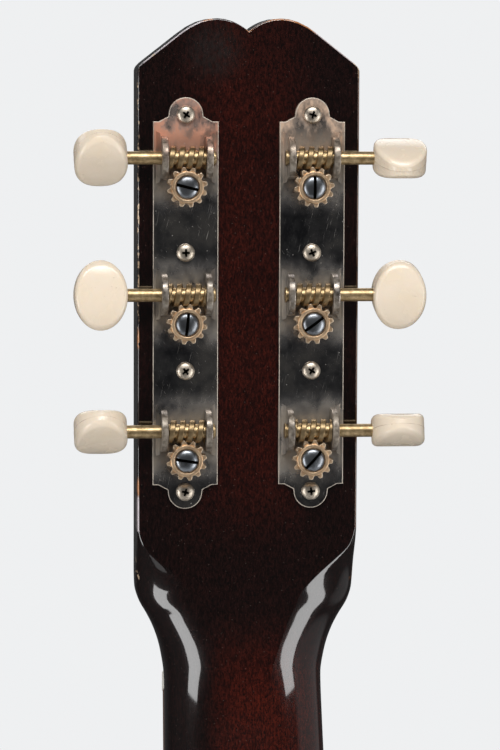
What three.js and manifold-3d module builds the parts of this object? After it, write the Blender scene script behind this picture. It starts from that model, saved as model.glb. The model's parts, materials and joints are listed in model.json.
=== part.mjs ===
// Six-string slab-bodied electric guitar with open strip tuners, in millimetres.
//
// The guitar stands upright: +Z runs up the neck, +Y is the side with the strings and +X is the bass side.
// The origin is on the neck's glue face, on the centre line, under the front edge of the nut.
// The headstock leans back, and everything on it sits in groups that lean with it.

import * as THREE from "three";
import { mergeVertices } from "three/addons/utils/BufferGeometryUtils.js";
import Module from "manifold-3d";

const wasm = await Module();
wasm.setup();

// Clearances
const SEAT_GAP = 0.2; // between a seated piece and its seat
const SLIP_GAP = 0.2; // round a piece that is held still in a hole
const RUN_GAP = 0.25; // round a piece that turns in a hole

// Fingerboard, nut and neck
const SCALE_LENGTH = 628.65;
const FRET_COUNT = 22;
const NUT_THICK = 5;
const NUT_WIDTH = 42.2;
const NUT_FALL = 1.4; // how much lower the nut is on its headstock side
const BOARD_END_WIDTH = 56;
const BOARD_PAST_LAST_FRET = 6;
const BOARD_THICK = 5.6;
const BOARD_RADIUS = 305;
const FRET_HEIGHT = 1.1;
const FRET_WIDTH = 2.4;
const NECK_DEPTH_AT_NUT = 15.6;
const NECK_DEPTH_AT_HEEL = 17.6;
const NECK_WALL = 2.6; // straight side under the fingerboard
const NECK_FLAT = 4; // half-width of the flattest part of the back
const HEEL_LENGTH = 58;
const HEEL_WALL = 10;

// Headstock, its lengths measured up its front face from the fold behind the nut
const HEAD_ANGLE = 17;
const HEAD_THICK = 14.3;
const HEAD_BASE_HALF = 29.3; // half-width where the parallel part begins
const HEAD_TOP_HALF = 29.4;
const HEAD_BASE = 40; // where the parallel part begins
const HEAD_CORNER = 162.4; // the top corners
const HEAD_CREST = 175.2; // the two humps of the top edge
const CREST_DIP = 3.4; // the notch between the humps
const CREST_X = 8.4;
const SLOPE_TOP_X = 17.9; // where each straight slope ends and its hump begins
const SLOPE_RISE = 9.2;
const EDGE_ROUND = 0.7;
const THROAT_ROLL = 62; // how far the side has rolled over where it meets the flat back, in degrees

// Truss rod and its cover
const ROD_RADIUS = 2.4;
const ROD_DEPTH = 7.6; // rod's centre line below the glue face
const ROD_SHORT = 14; // wood left between the rod's lower end and the body joint
const ROD_NUT_RADIUS = 3.3;
const ROD_NUT_START = 3; // above the fold
const ROD_NUT_LENGTH = 7;
const POCKET_HALF = 5;
const POCKET_START = 1.5;
const POCKET_LENGTH = 22;
const POCKET_SPARE = 0.8;
const COVER_START = 1.2;
const COVER_LENGTH = 38;
const COVER_BASE_HALF = 14;
const COVER_TOP_HALF = 6;
const COVER_THICK = 1.6;

// Tuner plates
const PLATE_THICK = 1.2;
const PLATE_HALF = 8.65;
const PLATE_MIDDLE = 100.05;
const PLATE_STRAIGHT = 96.1; // length of the parallel sides
const PLATE_LEDGE = 1.8; // flat step between a side and its shoulder
const DOME_RADIUS = 4.55;
const DOME_RISE = 1.8; // from the parallel part's end to the dome's centre
const PLATE_INNER_SCREWS = [113.6, 82.3];
const POST_X = 16.75;
const POST_MIDDLE = 95; // place of the middle pair of tuners
const POST_PITCH = 36;
const EAR_INNER = 5; // from the post's centre line to the ear's near face
const EAR_THICK = 1.75;
const EAR_HALF_WIDTH = 5.6;
const EAR_SHOULDER = 2.2;
const EAR_ABOVE_AXLE = 3.6;
const AXLE_HEIGHT = 3.9; // worm's centre line above the plate

// Worm, gear and post
const GEAR_TEETH = 12;
const THREAD_PITCH = 2.5;
const GEAR_TIP = 5.35;
const GEAR_ROOT = 4.35;
const TOOTH_TIP_HALF = 0.32;
const TOOTH_ROOT_HALF = 0.72;
const GEAR_THICK = 2.3;
const BOSS_RADIUS = 4.15;
const BOSS_HEIGHT = 0.7;
const TENON_HALF = 1.6; // square end of the post that drives the gear
const WORM_TIP = 3.1;
const WORM_ROOT = 1.95;
const WORM_END_GAP = 0.15; // between the worm and each ear
const RIDGE_TIP_HALF = 0.34;
const RIDGE_ROOT_HALF = 0.7;
const MESH_DEPTH = 0.8; // how far the teeth reach in between the worm's ridges
const AXLE_RADIUS = 1.75;
const AXLE_TIP = 0.9; // what shows past the far ear
const POST_RADIUS = 3;
const POST_WAIST = 2.5;
const POST_STANDS = 13; // in front of the headstock
const WAIST_START = 3.5;
const WAIST_LENGTH = 6.5;
const STRING_HEIGHT = 6.6; // string hole in front of the headstock
const STRING_HOLE_RADIUS = 0.9;
const GEAR_SCREW_HEAD = 3.1;
const GEAR_SCREW_DOME = 1.4;
const GEAR_SCREW_SHANK = 0.9;
const GEAR_SCREW_REACH = 6;
const SLOT_WIDTH = 0.85;
const SLOT_DEPTH = 0.75;

// Plate screws
const PLATE_SCREW_HEAD = 2.4;
const PLATE_SCREW_DOME = 1.1;
const PLATE_SCREW_SHANK = 1.1;
const PLATE_SCREW_REACH = 10;
const CROSS_HALF = 1.15;
const CROSS_WIDTH = 0.6;
const CROSS_DEPTH = 0.7;

// Tuner buttons
const BUTTON_LENGTH = 14; // along the axle
const BUTTON_HALF_HEIGHT = 9.2;
const BUTTON_HALF_THICK = 3.95;
const BUTTON_START = 15.7; // from the post's centre line
const BUTTON_SOCKET = 9;

// Body
const BODY_TOP = -3;
const BODY_THICK = 42;
const BODY_ROUND = 5.5;
const NECK_JOINT = -425; // where the body's edge meets the neck
const JOINT_SHELF = 3; // body's edge left on each side of the neck
const HORN_X = 84;
const HORN_Z = -352;
const UPPER_BOUT_HALF = 120;
const UPPER_BOUT_Z = -412;
const WAIST_HALF = 107;
const WAIST_Z = -498;
const LOWER_BOUT_HALF = 162;
const LOWER_BOUT_Z = -644;
const BODY_END = -748;
const TENON_HALF_WIDTH = 19;
const TENON_DEPTH = 34;
const TENON_SHORT = 3; // how far the tenon stops before the fingerboard's end

// Pickguard, pickup, controls and jack
const GUARD_THICK = 2;
const GUARD_TO_NECK = 2;
const GUARD_TOP = -440;
const GUARD_BASS = 52;
const GUARD_BELOW_PICKUP = 8;
const GUARD_INNER = -64;
const GUARD_OUTER = -126;
const GUARD_BOTTOM = -708;
const PICKUP_Z = -586;
const PICKUP_HALF_LENGTH = 43;
const PICKUP_HALF_WIDTH = 11;
const PICKUP_STANDS = 7;
const PICKUP_SUNK = 12;
const PICKUP_ROUND = 2;
const CAVITY_DEPTH = 30;
const CAVITY_HALF = 18;
const CAVITY_PAST = 18; // beyond each control's centre
const CONTROL_X = -95;
const VOLUME_Z = -600;
const TONE_Z = -641;
const JACK_Z = -683;
const KNOB_TOP_RADIUS = 11.4;
const KNOB_BASE_RADIUS = 13.2;
const KNOB_HEIGHT = 15;
const KNOB_SKIRT = 4;
const KNOB_LIFT = 0.6;
const KNOB_MARK_HALF = 0.5;
const KNOB_MARK_DEPTH = 0.8;
const KNOB_SHAFT_RADIUS = 3.1;
const KNOB_SHAFT_SUNK = 12;
const JACK_BORE = 3.6;
const JACK_SLEEVE = 5.2;
const JACK_NUT_RADIUS = 7.2;
const JACK_NUT_HEIGHT = 2.6;
const JACK_SUNK = 20;

// Bridge and strap buttons
const BRIDGE_Z = -631;
const BAR_HALF_LENGTH = 34;
const BAR_HALF_WIDTH = 7.5;
const BAR_HEIGHT = 9;
const BRIDGE_EAR_END = 53;
const BRIDGE_EAR_HALF = 6.5;
const BRIDGE_EAR_THICK = 4.6;
const STUD_X = 41.2;
const STUD_HEAD = 5.4;
const STUD_SHANK = 3.8;
const STUD_REACH = 22;
const STRAP_BUTTON_RADIUS = 7;
const STRAP_BUTTON_WAIST = 4;
const STRAP_BUTTON_LENGTH = 11;
const STRAP_SCREW_RADIUS = 1.6;
const STRAP_SCREW_REACH = 20;

// Strings, from treble to bass
const STRING_DIAMETERS = [0.28, 0.38, 0.5, 0.66, 0.9, 1.15];
const NUT_STRING_SPAN = 35.2;
const BRIDGE_STRING_SPAN = 51.5;
const STRING_LIFT_AT_NUT = 1.5; // underside of the strings above the fingerboard
const STRING_LIFT_AT_BRIDGE = 5.4;

const GEAR_PITCH_RADIUS = (THREAD_PITCH * GEAR_TEETH) / (2 * Math.PI);
const GEAR_TO_WORM = GEAR_TIP + WORM_TIP - MESH_DEPTH;
const AXLE_LEVEL = PLATE_THICK + AXLE_HEIGHT;
const GEAR_TOP = AXLE_LEVEL + GEAR_THICK / 2;
const GEAR_BOTTOM = AXLE_LEVEL - GEAR_THICK / 2;
const HEAD_FRONT = -HEAD_THICK - SEAT_GAP; // the headstock's front, from a tuner plate's underside
const EAR_OUTER = EAR_INNER + EAR_THICK;
const BODY_BACK = BODY_TOP - BODY_THICK;
const BODY_MIDDLE = (BODY_TOP + BODY_BACK) / 2;
const GUARD_LEVEL = BODY_TOP + SEAT_GAP + GUARD_THICK;

// The six tuners as the back shows them: the button's turn about its shaft, the angle of the gear screw's
// slot, and how far the gear has turned past a tooth pointing at the worm, in teeth.
const TUNERS = [
  { name: "treble_top", side: -1, row: 1, turned: 40, slot: -14, phase: 0.44 },
  { name: "treble_middle", side: -1, row: 0, turned: 0, slot: 84, phase: 0.74 },
  { name: "treble_low", side: -1, row: -1, turned: 60, slot: -9, phase: 0.38 },
  { name: "bass_top", side: 1, row: 1, turned: -64, slot: 90, phase: 0.26 },
  { name: "bass_middle", side: 1, row: 0, turned: 14, slot: 36, phase: 0.44 },
  { name: "bass_low", side: 1, row: -1, turned: 84, slot: 48, phase: 0.87 },
];

const rad = THREE.MathUtils.degToRad;
const mix = THREE.MathUtils.lerp;
const vec = (x, y, z) => new THREE.Vector3(x, y, z);
const UPRIGHT = new THREE.Matrix4().makeRotationX(Math.PI / 2); // turns +Y up and +Z to the back

// Materials

const finish = (color, roughness, metalness) => () =>
  new THREE.MeshStandardMaterial({ color, roughness, metalness });
const mahogany = finish(0x35120a, 0.25, 0);
const rosewood = finish(0x2a1a12, 0.5, 0);
const nickel = finish(0x9b958c, 0.3, 1);
const brass = finish(0xb08b4a, 0.35, 1);
const bronze = finish(0xa8814a, 0.4, 1);
const steel = finish(0x8d959c, 0.35, 1);
const ivoryPlastic = finish(0xe6dcc4, 0.35, 0);
const blackPlastic = finish(0x101010, 0.35, 0);
const bone = finish(0xe4dfd2, 0.4, 0);

// Solids

function solidOf(geometry) {
  const bare = new THREE.BufferGeometry();
  bare.setAttribute("position", geometry.getAttribute("position").clone());
  bare.setIndex(geometry.index);
  const merged = mergeVertices(bare, 1e-4);
  const mesh = new wasm.Mesh({
    numProp: 3,
    vertProperties: merged.attributes.position.array,
    triVerts: new Uint32Array(merged.index.array),
  });
  return new wasm.Manifold(mesh);
}

function geometryOf(solid) {
  const { vertProperties, triVerts } = solid.getMesh();
  const geometry = new THREE.BufferGeometry();
  geometry.setAttribute("position", new THREE.BufferAttribute(vertProperties, 3));
  geometry.setIndex(new THREE.BufferAttribute(triVerts, 1));
  const faceted = geometry.toNonIndexed();
  faceted.computeVertexNormals();
  return faceted;
}

function piece(name, solid, material) {
  const mesh = new THREE.Mesh(geometryOf(solid), material());
  mesh.name = name;
  return mesh;
}

const moved = (solid, matrix) => solid.transform(matrix.elements);
const shifted = (solid, x, y, z) => solid.translate([x, y, z]);
const joined = (first, ...others) => others.reduce((sum, next) => sum.add(next), first);
const cut = (first, ...tools) => tools.reduce((rest, tool) => rest.subtract(tool), first);

function block(x0, x1, y0, y1, z0, z1) {
  const box = new THREE.BoxGeometry(x1 - x0, y1 - y0, z1 - z0);
  return solidOf(box.translate((x0 + x1) / 2, (y0 + y1) / 2, (z0 + z1) / 2));
}

// A piece turned about +Z, from a profile of [radius, height] that runs upwards round its outside.
function turnedSolid(profile, sides) {
  const points = profile.map(([radius, height]) => new THREE.Vector2(radius, height));
  return solidOf(new THREE.LatheGeometry(points, sides).rotateX(Math.PI / 2));
}

const rod = (radius, z0, z1, sides) => turnedSolid([[0, z0], [radius, z0], [radius, z1], [0, z1]], sides);

// A hole that clears a round piece by the gap even at the middle of its flats.
const hole = (radius, gap, z0, z1, sides) => rod((radius + gap) / Math.cos(Math.PI / sides), z0, z1, sides);

// A flat outline pushed along +Z, with its edges rounded inside the outline if asked.
function prism(shape, z0, z1, { round = 0, steps = 6 } = {}) {
  const geometry = new THREE.ExtrudeGeometry(shape, {
    depth: z1 - z0 - 2 * round,
    bevelEnabled: round > 0,
    bevelThickness: round,
    bevelSize: round,
    bevelOffset: -round,
    bevelSegments: 2,
    curveSegments: steps,
  });
  return solidOf(geometry.translate(0, 0, z0 + round));
}

// An outline in the guitar's front view, pushed from one level of Y to another.
function slab(shape, y0, y1, options) {
  return moved(prism(shape, -y1, -y0, options), UPRIGHT);
}

// A skin over convex rings with the same number of points each, which run counter-clockwise as seen from the
// last ring. Both ends are closed.
function lofted(rings) {
  const count = rings[0].length;
  const faces = [];
  for (let i = 0; i + 1 < rings.length; i += 1) {
    for (let j = 0; j < count; j += 1) {
      const a = i * count + j;
      const b = i * count + ((j + 1) % count);
      faces.push(a, b, b + count, a, b + count, a + count);
    }
  }
  const last = (rings.length - 1) * count;
  for (let j = 1; j + 1 < count; j += 1) {
    faces.push(0, j + 1, j, last, last + j, last + j + 1);
  }
  const geometry = new THREE.BufferGeometry();
  geometry.setAttribute("position", new THREE.Float32BufferAttribute(rings.flat().flatMap((p) => [...p]), 3));
  geometry.setIndex(faces);
  return solidOf(geometry);
}

// Groups on the headstock: its front face, and its back with +Z out of the wood under the tuner plates.

const headstock = new THREE.Group();
headstock.position.z = NUT_THICK;
headstock.rotation.x = rad(HEAD_ANGLE);
const headBack = new THREE.Group();
headBack.position.y = HEAD_FRONT;
headBack.rotation.x = Math.PI / 2;
headstock.add(headBack);
headstock.updateMatrixWorld(true);

const onHead = (solid) => moved(solid, headstock.matrixWorld);
const onBack = (solid, x, z) => moved(shifted(solid, x, z, 0), headBack.matrixWorld);
const rowPlace = (row) => POST_MIDDLE + row * POST_PITCH;

// Neck and headstock

const fretZ = (n) => -SCALE_LENGTH * (1 - 2 ** (-n / 12));
const BOARD_END = fretZ(FRET_COUNT) - BOARD_PAST_LAST_FRET;
const HEEL_START = NECK_JOINT + HEEL_LENGTH;
const neckHalf = (z) => mix(NUT_WIDTH, BOARD_END_WIDTH, z / BOARD_END) / 2;

// One cross-section: a flat front, straight sides, and a side that rolls over into a flat middle of the back.
function neckRing({ half, depth, flat, wall, z, lean = 0, up = 0, roll = 90 }) {
  const steps = 6;
  const end = rad(roll);
  const side = [[half, 0]];
  for (let k = 0; k <= steps; k += 1) {
    const turn = (k / steps) * end;
    const inward = (1 - Math.cos(turn)) / (1 - Math.cos(end));
    side.push([mix(half, flat, inward), mix(wall, depth, Math.sin(turn) / Math.sin(end))]);
  }
  const outline = [...side, ...side.map(([x, t]) => [-x, t]).reverse()].reverse();
  const along = rad(HEAD_ANGLE);
  const y0 = -up * Math.sin(along);
  const z0 = z + up * Math.cos(along);
  return outline.map(([x, t]) => vec(x, y0 - t * Math.cos(rad(lean)), z0 - t * Math.sin(rad(lean))));
}

// The throat, where the neck widens into the headstock: how far up, half-width of the outline and of the
// flat back, depth, and height of the straight side.
const THROAT = [
  { up: 4, half: 21.8, flat: 8.6, depth: 16.2, wall: 3 },
  { up: 8, half: 22.7, flat: 9.6, depth: 15.9, wall: 3.4 },
  { up: 12, half: 24.1, flat: 10.5, depth: 15.4, wall: 3.8 },
  { up: 15.5, half: 25.8, flat: 11.4, depth: 15, wall: 4.2 },
  { up: 19, half: 27.8, flat: 12.8, depth: 14.7, wall: 4.6 },
  { up: 22.5, half: 29, flat: 14.7, depth: HEAD_THICK, wall: 5 },
  { up: 25.5, half: 29.25, flat: 17, depth: HEAD_THICK, wall: 5.6 },
  { up: 28.5, half: 29.3, flat: 19.6, depth: HEAD_THICK, wall: 6.6 },
  { up: 31.5, half: 29.3, flat: 22.8, depth: HEAD_THICK, wall: 8.2 },
  { up: 35, half: 29.3, flat: 26.2, depth: HEAD_THICK, wall: 10.8 },
];

function neckRings() {
  const heelDepth = -BODY_BACK - BODY_ROUND;
  const straight = [0, SCALE_LENGTH / -4, HEEL_START].map((z) => ({
    z,
    half: neckHalf(z),
    depth: mix(NECK_DEPTH_AT_NUT, NECK_DEPTH_AT_HEEL, z / HEEL_START),
    flat: NECK_FLAT,
    wall: NECK_WALL,
  }));
  const heel = [0.35, 0.6, 0.8, 0.93, 1].map((t) => {
    const z = mix(HEEL_START, NECK_JOINT + SEAT_GAP, t);
    const swell = 1 - Math.sqrt(1 - t ** 3);
    return {
      z,
      half: neckHalf(z),
      depth: mix(NECK_DEPTH_AT_HEEL, heelDepth, swell),
      flat: mix(NECK_FLAT, TENON_HALF_WIDTH, t * t),
      wall: mix(NECK_WALL, HEEL_WALL, swell),
    };
  });
  const fold = { z: NUT_THICK, lean: HEAD_ANGLE / 2, half: NUT_WIDTH / 2, flat: 6.6, depth: 16, wall: 2.8 };
  const blade = [
    { up: HEAD_BASE, half: HEAD_BASE_HALF },
    { up: HEAD_CORNER, half: HEAD_TOP_HALF },
    { up: HEAD_CREST + 2, half: HEAD_TOP_HALF },
  ].map((at) => ({ ...at, flat: at.half - EDGE_ROUND, depth: HEAD_THICK, wall: HEAD_THICK - EDGE_ROUND }));
  const throat = THROAT.map((at) => ({ ...at, roll: THROAT_ROLL }));
  const head = [...throat, ...blade].map((at) => ({ ...at, z: NUT_THICK, lean: HEAD_ANGLE }));
  return [...heel.reverse(), ...straight.reverse(), fold, ...head].map(neckRing);
}

// A block whose top edge is the headstock's: two straight slopes, two humps and a notch between them.
function headTopKeeper() {
  const wide = 2 * HEAD_TOP_HALF;
  const below = 2 * NECK_JOINT;
  const slopeTop = HEAD_CORNER + SLOPE_RISE;
  const fall = (SLOPE_RISE / (HEAD_TOP_HALF - SLOPE_TOP_X)) * (wide - HEAD_TOP_HALF);
  const notch = HEAD_CREST - CREST_DIP;
  const ease = (SLOPE_TOP_X - CREST_X) / 2;
  const shape = new THREE.Shape();
  shape.moveTo(-wide, HEAD_CORNER - fall);
  shape.lineTo(-wide, below);
  shape.lineTo(wide, below);
  shape.lineTo(wide, HEAD_CORNER - fall);
  shape.lineTo(SLOPE_TOP_X, slopeTop);
  shape.quadraticCurveTo(CREST_X + ease, HEAD_CREST, CREST_X, HEAD_CREST);
  shape.quadraticCurveTo(CREST_X / 2, HEAD_CREST, 0, notch);
  shape.quadraticCurveTo(-CREST_X / 2, HEAD_CREST, -CREST_X, HEAD_CREST);
  shape.quadraticCurveTo(-CREST_X - ease, HEAD_CREST, -SLOPE_TOP_X, slopeTop);
  shape.closePath();
  return onHead(slab(shape, BODY_BACK * 4, HEAD_THICK * 12, { steps: 4 }));
}

// The groove under the fingerboard for the truss rod, and the pocket behind the nut that reaches its end.
function trussRecess() {
  const half = ROD_RADIUS + SLIP_GAP;
  const start = NECK_JOINT + ROD_SHORT;
  const groove = block(-half, half, -ROD_DEPTH - half, HEAD_THICK, start, NUT_THICK + POCKET_START + 1);
  const floor = -ROD_DEPTH - ROD_NUT_RADIUS - POCKET_SPARE;
  const low = NUT_THICK + POCKET_START;
  const pocket = block(-POCKET_HALF, POCKET_HALF, floor, HEAD_THICK, low, low + POCKET_LENGTH);
  return joined(groove, pocket);
}

// The part of the neck that lies over the body and carries the end of the fingerboard.
function tongue() {
  const under = BODY_TOP + SEAT_GAP;
  const rings = [BOARD_END, NECK_JOINT + 1].map((z) => {
    const half = neckHalf(z);
    return [vec(half, 0, z), vec(-half, 0, z), vec(-half, under, z), vec(half, under, z)];
  });
  return lofted(rings);
}

const tenonBlock = (gap) =>
  block(
    -TENON_HALF_WIDTH - gap,
    TENON_HALF_WIDTH + gap,
    -TENON_DEPTH - gap,
    gap,
    BOARD_END + TENON_SHORT - gap,
    NECK_JOINT + 1,
  );

function neck() {
  const blank = lofted(neckRings()).intersect(headTopKeeper());
  const postHole = hole(POST_RADIUS, RUN_GAP, HEAD_FRONT - HEAD_THICK, HEAD_THICK, 10);
  const screwHole = hole(PLATE_SCREW_SHANK, SLIP_GAP, -PLATE_SCREW_REACH - SEAT_GAP, 1, 6);
  const holes = [-1, 1].flatMap((side) => [
    ...[-1, 0, 1].map((row) => onBack(postHole, side * POST_X, rowPlace(row))),
    ...plateScrewPlaces().map((at) => onBack(screwHole, side * POST_X, at)),
  ]);
  return piece("neck", cut(joined(blank, tenonBlock(0), tongue()), trussRecess(), ...holes), mahogany);
}

const boardTop = (x) => BOARD_THICK - (x * x) / (2 * BOARD_RADIUS);

// The fingerboard's crowned section at one place, with its top raised where a fret crosses.
function boardRing(z, raised) {
  const half = neckHalf(z);
  const across = [1, 0.4, -0.4, -1].map((share) => vec(share * half, boardTop(share * half) + raised, z));
  return [...across, vec(-half, SEAT_GAP, z), vec(half, SEAT_GAP, z)];
}

function fingerboard() {
  const rings = [boardRing(-SEAT_GAP, 0)];
  for (let n = 1; n <= FRET_COUNT; n += 1) {
    const z = fretZ(n);
    const foot = FRET_WIDTH / 2;
    const crown = FRET_WIDTH / 4;
    rings.push(boardRing(z + foot, 0), boardRing(z + crown, FRET_HEIGHT));
    rings.push(boardRing(z - crown, FRET_HEIGHT), boardRing(z - foot, 0));
  }
  rings.push(boardRing(BOARD_END, 0));
  return piece("fretted_fingerboard", lofted(rings.reverse()), rosewood);
}

function trussRod() {
  const start = NECK_JOINT + ROD_SHORT + SLIP_GAP;
  const nutStart = NUT_THICK + ROD_NUT_START;
  const end = nutStart + ROD_NUT_LENGTH;
  const profile = [
    [0, start],
    [ROD_RADIUS, start],
    [ROD_RADIUS, nutStart],
    [ROD_NUT_RADIUS, nutStart],
    [ROD_NUT_RADIUS, end],
    [0, end],
  ];
  const rodPiece = piece("truss_rod", turnedSolid(profile, 8), steel);
  rodPiece.position.y = -ROD_DEPTH;
  return rodPiece;
}

function trussCover() {
  const shape = new THREE.Shape();
  const neckline = COVER_START + COVER_LENGTH - COVER_TOP_HALF;
  const sweep = COVER_LENGTH * 0.4;
  shape.moveTo(-COVER_BASE_HALF, COVER_START);
  shape.lineTo(COVER_BASE_HALF, COVER_START);
  shape.bezierCurveTo(COVER_BASE_HALF, sweep, COVER_TOP_HALF, sweep, COVER_TOP_HALF, neckline);
  shape.absarc(0, neckline, COVER_TOP_HALF, 0, Math.PI, false);
  shape.bezierCurveTo(-COVER_TOP_HALF, sweep, -COVER_BASE_HALF, sweep, -COVER_BASE_HALF, COVER_START);
  return piece("truss_rod_cover", slab(shape, SEAT_GAP, SEAT_GAP + COVER_THICK), blackPlastic);
}

// Tuner plates and their screws

function plateScrewPlaces() {
  const reach = PLATE_STRAIGHT / 2 + DOME_RISE;
  return [PLATE_MIDDLE + reach, ...PLATE_INNER_SCREWS, PLATE_MIDDLE - reach];
}

function plateOutline() {
  const top = PLATE_STRAIGHT / 2;
  const ledge = PLATE_HALF - PLATE_LEDGE;
  const dome = top + DOME_RISE;
  const shape = new THREE.Shape();
  shape.moveTo(PLATE_HALF, -top);
  shape.lineTo(PLATE_HALF, top);
  shape.lineTo(ledge, top);
  shape.quadraticCurveTo(DOME_RADIUS, top, DOME_RADIUS, dome);
  shape.absarc(0, dome, DOME_RADIUS, 0, Math.PI, false);
  shape.quadraticCurveTo(-DOME_RADIUS, top, -ledge, top);
  shape.lineTo(-PLATE_HALF, top);
  shape.lineTo(-PLATE_HALF, -top);
  shape.lineTo(-ledge, -top);
  shape.quadraticCurveTo(-DOME_RADIUS, -top, -DOME_RADIUS, -dome);
  shape.absarc(0, -dome, DOME_RADIUS, Math.PI, 2 * Math.PI, false);
  shape.quadraticCurveTo(DOME_RADIUS, -top, ledge, -top);
  shape.closePath();
  return shape;
}

// One upright ear, its base sunk into the plate and its face across X.
function ear(x0, x1) {
  const top = AXLE_LEVEL + EAR_ABOVE_AXLE;
  const shoulder = PLATE_THICK + EAR_SHOULDER;
  const base = PLATE_THICK / 2;
  const shape = new THREE.Shape();
  shape.moveTo(-EAR_HALF_WIDTH, base);
  shape.lineTo(EAR_HALF_WIDTH, base);
  shape.lineTo(EAR_HALF_WIDTH, shoulder);
  shape.quadraticCurveTo(EAR_HALF_WIDTH * 0.8, top, 0, top);
  shape.quadraticCurveTo(-EAR_HALF_WIDTH * 0.8, top, -EAR_HALF_WIDTH, shoulder);
  shape.closePath();
  const facing = new THREE.Matrix4().makeBasis(vec(0, 1, 0), vec(0, 0, 1), vec(1, 0, 0));
  return moved(prism(shape, x0, x1, { steps: 4 }), facing);
}

const alongX = (solid) => moved(solid, new THREE.Matrix4().makeRotationY(Math.PI / 2));

function tunerPlate(name, side) {
  const flat = shifted(prism(plateOutline(), 0, PLATE_THICK, { steps: 5 }), 0, PLATE_MIDDLE, 0);
  const axleHole = alongX(hole(AXLE_RADIUS, RUN_GAP, -EAR_OUTER - 1, EAR_OUTER + 1, 10));
  const ears = [-1, 0, 1].flatMap((row) => {
    const at = rowPlace(row) + GEAR_TO_WORM;
    return [ear(-EAR_OUTER, -EAR_INNER), ear(EAR_INNER, EAR_OUTER)].map((lug) =>
      shifted(cut(lug, shifted(axleHole, 0, 0, AXLE_LEVEL)), 0, at, 0),
    );
  });
  const through = [-PLATE_THICK, 2 * PLATE_THICK];
  const postHole = hole(POST_RADIUS, RUN_GAP, ...through, 10);
  const screwHole = hole(PLATE_SCREW_SHANK, SLIP_GAP, ...through, 6);
  const postHoles = [-1, 0, 1].map((row) => shifted(postHole, 0, rowPlace(row), 0));
  const screwHoles = plateScrewPlaces().map((at) => shifted(screwHole, 0, at, 0));
  const plate = piece(name, cut(joined(flat, ...ears), ...postHoles, ...screwHoles), nickel);
  plate.position.x = side * POST_X;
  return plate;
}

// A screw with a domed head on z = 0 and its shank below.
function domedScrew({ head, dome, shank, reach, sides }) {
  const profile = [
    [0, -reach],
    [shank, -reach],
    [shank, 0],
    [head, 0],
    [head * 0.96, dome * 0.4],
    [head * 0.62, dome * 0.86],
    [0, dome],
  ];
  return turnedSolid(profile, sides);
}

function plateScrew(name, side, at) {
  const screw = domedScrew({
    head: PLATE_SCREW_HEAD,
    dome: PLATE_SCREW_DOME,
    shank: PLATE_SCREW_SHANK,
    reach: PLATE_SCREW_REACH,
    sides: 8,
  });
  const floor = PLATE_SCREW_DOME - CROSS_DEPTH;
  const arm = CROSS_WIDTH / 2;
  const cross = joined(
    block(-CROSS_HALF, CROSS_HALF, -arm, arm, floor, PLATE_SCREW_DOME + 1),
    block(-arm, arm, -CROSS_HALF, CROSS_HALF, floor, PLATE_SCREW_DOME + 1),
  );
  const made = piece(name, cut(screw, cross), nickel);
  made.position.set(side * POST_X, at, PLATE_THICK + SEAT_GAP);
  return made;
}

// Tuner: worm shaft, button, gear, string post and gear screw, round the post's centre line

// The worm's ridge as a bar of four corners, wound left-handed from end to end and past both.
function wormRidge(phase) {
  const steps = 8;
  const base = WORM_ROOT * 0.85;
  const slant = (RIDGE_ROOT_HALF - RIDGE_TIP_HALF) / (WORM_TIP - WORM_ROOT);
  const baseHalf = RIDGE_TIP_HALF + slant * (WORM_TIP - base);
  const turns = Math.ceil(EAR_INNER / THREAD_PITCH) + 1;
  const tip = WORM_TIP;
  const rings = [];
  for (let k = -turns * steps; k <= turns * steps; k += 1) {
    const angle = Math.PI + (k / steps) * 2 * Math.PI;
    const x = (0.5 - phase - k / steps) * THREAD_PITCH;
    const at = (dx, r) => vec(x + dx, r * Math.cos(angle), r * Math.sin(angle));
    rings.push([at(baseHalf, base), at(RIDGE_TIP_HALF, tip), at(-RIDGE_TIP_HALF, tip), at(-baseHalf, base)]);
  }
  return lofted(rings);
}

function wormShaft({ name, side, phase }) {
  const half = EAR_INNER - WORM_END_GAP;
  const sides = 8;
  const core = rod(WORM_ROOT, -half, half, sides);
  const limit = rod(WORM_TIP * 2, -half, half, sides);
  const worm = joined(alongX(core), wormRidge(phase).intersect(alongX(limit)));
  const ends = [-EAR_OUTER - AXLE_TIP, BUTTON_START + BUTTON_SOCKET].map((x) => side * x);
  const axle = alongX(rod(AXLE_RADIUS, Math.min(...ends), Math.max(...ends), 10));
  const made = piece(`worm_shaft_${name}`, joined(worm, axle), brass);
  made.position.set(0, GEAR_TO_WORM, AXLE_LEVEL);
  return made;
}

// The button's oval sections across its thickness, each [share of the outline, height].
const BUTTON_LAYERS = [
  [0.5, -1],
  [0.82, -0.88],
  [0.985, -0.42],
  [0.985, 0.42],
  [0.82, 0.88],
  [0.5, 1],
];

function button({ name, side, turned }) {
  const points = 16;
  const half = BUTTON_LENGTH / 2;
  const rings = BUTTON_LAYERS.map(([share, level]) =>
    Array.from({ length: points }, (_, k) => {
      const angle = (k / points) * 2 * Math.PI;
      const inset = (1 - share) * half;
      const x = (half - inset) * Math.cos(angle);
      const y = (BUTTON_HALF_HEIGHT - inset) * Math.sin(angle);
      return vec(x, y, level * BUTTON_HALF_THICK);
    }),
  );
  const near = -side * half;
  const ends = [near - side, near + side * (BUTTON_SOCKET + SEAT_GAP)];
  const socket = alongX(hole(AXLE_RADIUS, SLIP_GAP, Math.min(...ends), Math.max(...ends), 8));
  const made = piece(`button_${name}`, cut(lofted(rings), socket), ivoryPlastic);
  made.position.set(side * (BUTTON_START + half), GEAR_TO_WORM, AXLE_LEVEL);
  made.rotation.x = rad(turned);
  return made;
}

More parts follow.
